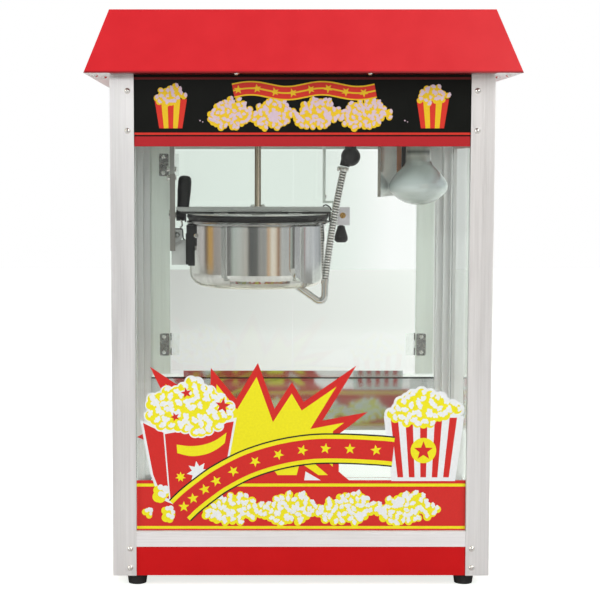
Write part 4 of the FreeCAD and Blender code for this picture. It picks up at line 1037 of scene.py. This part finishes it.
# ---------- studio
# Tall panels of the studio as the metal and the panes see them: degrees from the front, positive
# towards +X, and a linear colour.
STUDIO = [(-180, (0.90, 0.985, 0.92)), (-150, (0.66, 0.70, 0.68)), (-131, (0.55, 0.52, 0.52)),
          (-104, (0.64, 0.59, 0.58)), (-98, (0.20, 0.15, 0.12)), (-89, (0.62, 0.36, 0.10)),
          (-83, (0.64, 0.38, 0.14)), (-78, (0.42, 0.36, 0.34)), (-63, (0.46, 0.42, 0.40)),
          (-57, (0.14, 0.13, 0.13)), (-48, (0.16, 0.155, 0.15)), (-42, (0.52, 0.56, 0.53)),
          (-30, (0.58, 0.58, 0.56)), (-20, (0.64, 0.60, 0.56)), (-14, (0.13, 0.13, 0.13)),
          (-4, (0.13, 0.13, 0.13)), (2, (0.36, 0.35, 0.34)), (13, (0.42, 0.41, 0.40)),
          (17, (0.70, 0.46, 0.28)), (23, (0.95, 0.86, 0.76)), (29, (0.88, 0.74, 0.62)),
          (34, (0.40, 0.22, 0.13)), (40, (0.52, 0.52, 0.52)), (70, (0.50, 0.48, 0.50)),
          (75, (0.32, 0.15, 0.15)), (80, (0.72, 0.72, 0.75)), (100, (0.62, 0.62, 0.66)),
          (118, (0.28, 0.29, 0.31)), (150, (1.0, 1.03, 1.0)), (174.8, (1.2, 1.2, 1.2)),
          (176.4, (0.90, 0.985, 0.92)), (180, (0.90, 0.985, 0.92))]


def make_world():
    """White all round for the eye, and the studio's panels for reflections and for light."""
    world = bpy.data.worlds.new("studio")
    bpy.context.scene.world = world
    graph = Graph(world)
    background, panels = graph.nodes["Background"], graph.new("Background")
    background.inputs["Color"].default_value = (1.0, 1.0, 1.0, 1.0)
    background.inputs["Strength"].default_value = 1.0
    way = graph.new("TexCoord").outputs["Generated"]
    towards_front = graph.math("MULTIPLY", graph.axis("Y", way), -1.0)
    bearing = graph.math("ARCTAN2", graph.axis("X", way), towards_front)
    stops = [((angle + 180.0) / 360.0, colour) for angle, colour in STUDIO]
    graph.join(graph.ramp(graph.ranged(bearing, -math.pi, math.pi), stops), panels.inputs["Color"])
    panels.inputs["Strength"].default_value = 0.92
    path = graph.new("LightPath").outputs
    straight = graph.math("LESS_THAN", path["Glossy Depth"], 0.5)
    ahead = graph.math("LESS_THAN", graph.axis("Y", way), 0.5)
    through = graph.math("MULTIPLY", path["Is Transmission Ray"],
                         graph.math("MULTIPLY", straight, ahead))
    graph.mixed_shaders(graph.math("MAXIMUM", path["Is Camera Ray"], through),
                        panels.outputs["Background"], background.outputs["Background"], "World Output")


def area_light(name, location, target, width, height, power):
    data = bpy.data.lights.new(name, "AREA")
    data.shape = "RECTANGLE"
    data.size, data.size_y = width, height
    data.energy = power
    light = link(bpy.data.objects.new(name, data))
    light.location = location
    aim = Vector(target) - Vector(location)
    light.rotation_euler = aim.to_track_quat("-Z", "Y").to_euler()
    light.visible_transmission = False


CABINET_BACK_Y = 0.2
FLOOR_HALF_X, FLOOR_HALF_Y, FLOOR_MID_Y = 6.0, 4.05, 1.95


def make_floor():
    floor_white = surface("floor_white", grey(0.60), 0.7, scale=3.0, variation=0.01,
                          rough_spread=0.02, bump=0.02, bump_scale=40.0, specular=0.1)
    graph = Graph(floor_white)
    path, depth = graph.new("LightPath").outputs, graph.axis("Y")
    behind = graph.math("GREATER_THAN", depth, CABINET_BACK_Y)
    through = graph.math("MULTIPLY", path["Is Transmission Ray"], behind)
    # What is seen of the floor through the panes: brighter to the right, less under the rear light.
    fade = graph.math("SUBTRACT", graph.ranged(graph.axis("X"), -0.4, 0.8, 0.30, 0.70),
                      graph.ranged(depth, 2.8, 1.9, 0.0, 0.24))
    glow = graph.math("ADD", graph.math("MULTIPLY", path["Is Camera Ray"], 0.78),
                      graph.math("MULTIPLY", through, fade))
    graph.join(glow, graph.inputs["Emission Strength"])
    graph.inputs["Emission Color"].default_value = (0.95, 1.0, 0.96, 1.0)
    bm = bmesh.new()
    bmesh.ops.create_grid(bm, x_segments=8, y_segments=8, size=1.0)
    for vert in bm.verts:
        vert.co = Vector((vert.co.x * FLOOR_HALF_X, vert.co.y * FLOOR_HALF_Y + FLOOR_MID_Y, 0.0))
    mesh = bpy.data.meshes.new("floor")
    bm.to_mesh(mesh)
    bm.free()
    mesh.materials.append(floor_white)
    floor = link(bpy.data.objects.new("floor", mesh))
    floor.location = (0, 0, -0.0005)


make_world()
make_floor()
area_light("key_right", (1.5, -1.7, 1.7), (0.0, 0.0, 0.45), 0.9, 1.3, 30.0)
area_light("fill_left", (-1.7, -1.2, 0.9), (0.0, 0.0, 0.35), 0.7, 1.6, 13.0)
area_light("front_soft", (-0.35, -2.6, 1.15), (0.0, 0.0, 0.45), 0.9, 0.3, 5.0)
area_light("top_soft", (0.0, 0.1, 2.4), (0.0, 0.0, 0.4), 1.6, 1.2, 18.0)
area_light("rear_soft", (0.2, 2.2, 1.7), (0.0, 0.0, 0.35), 1.8, 0.8, 20.0)
bpy.context.scene.view_settings.view_transform = "Standard"
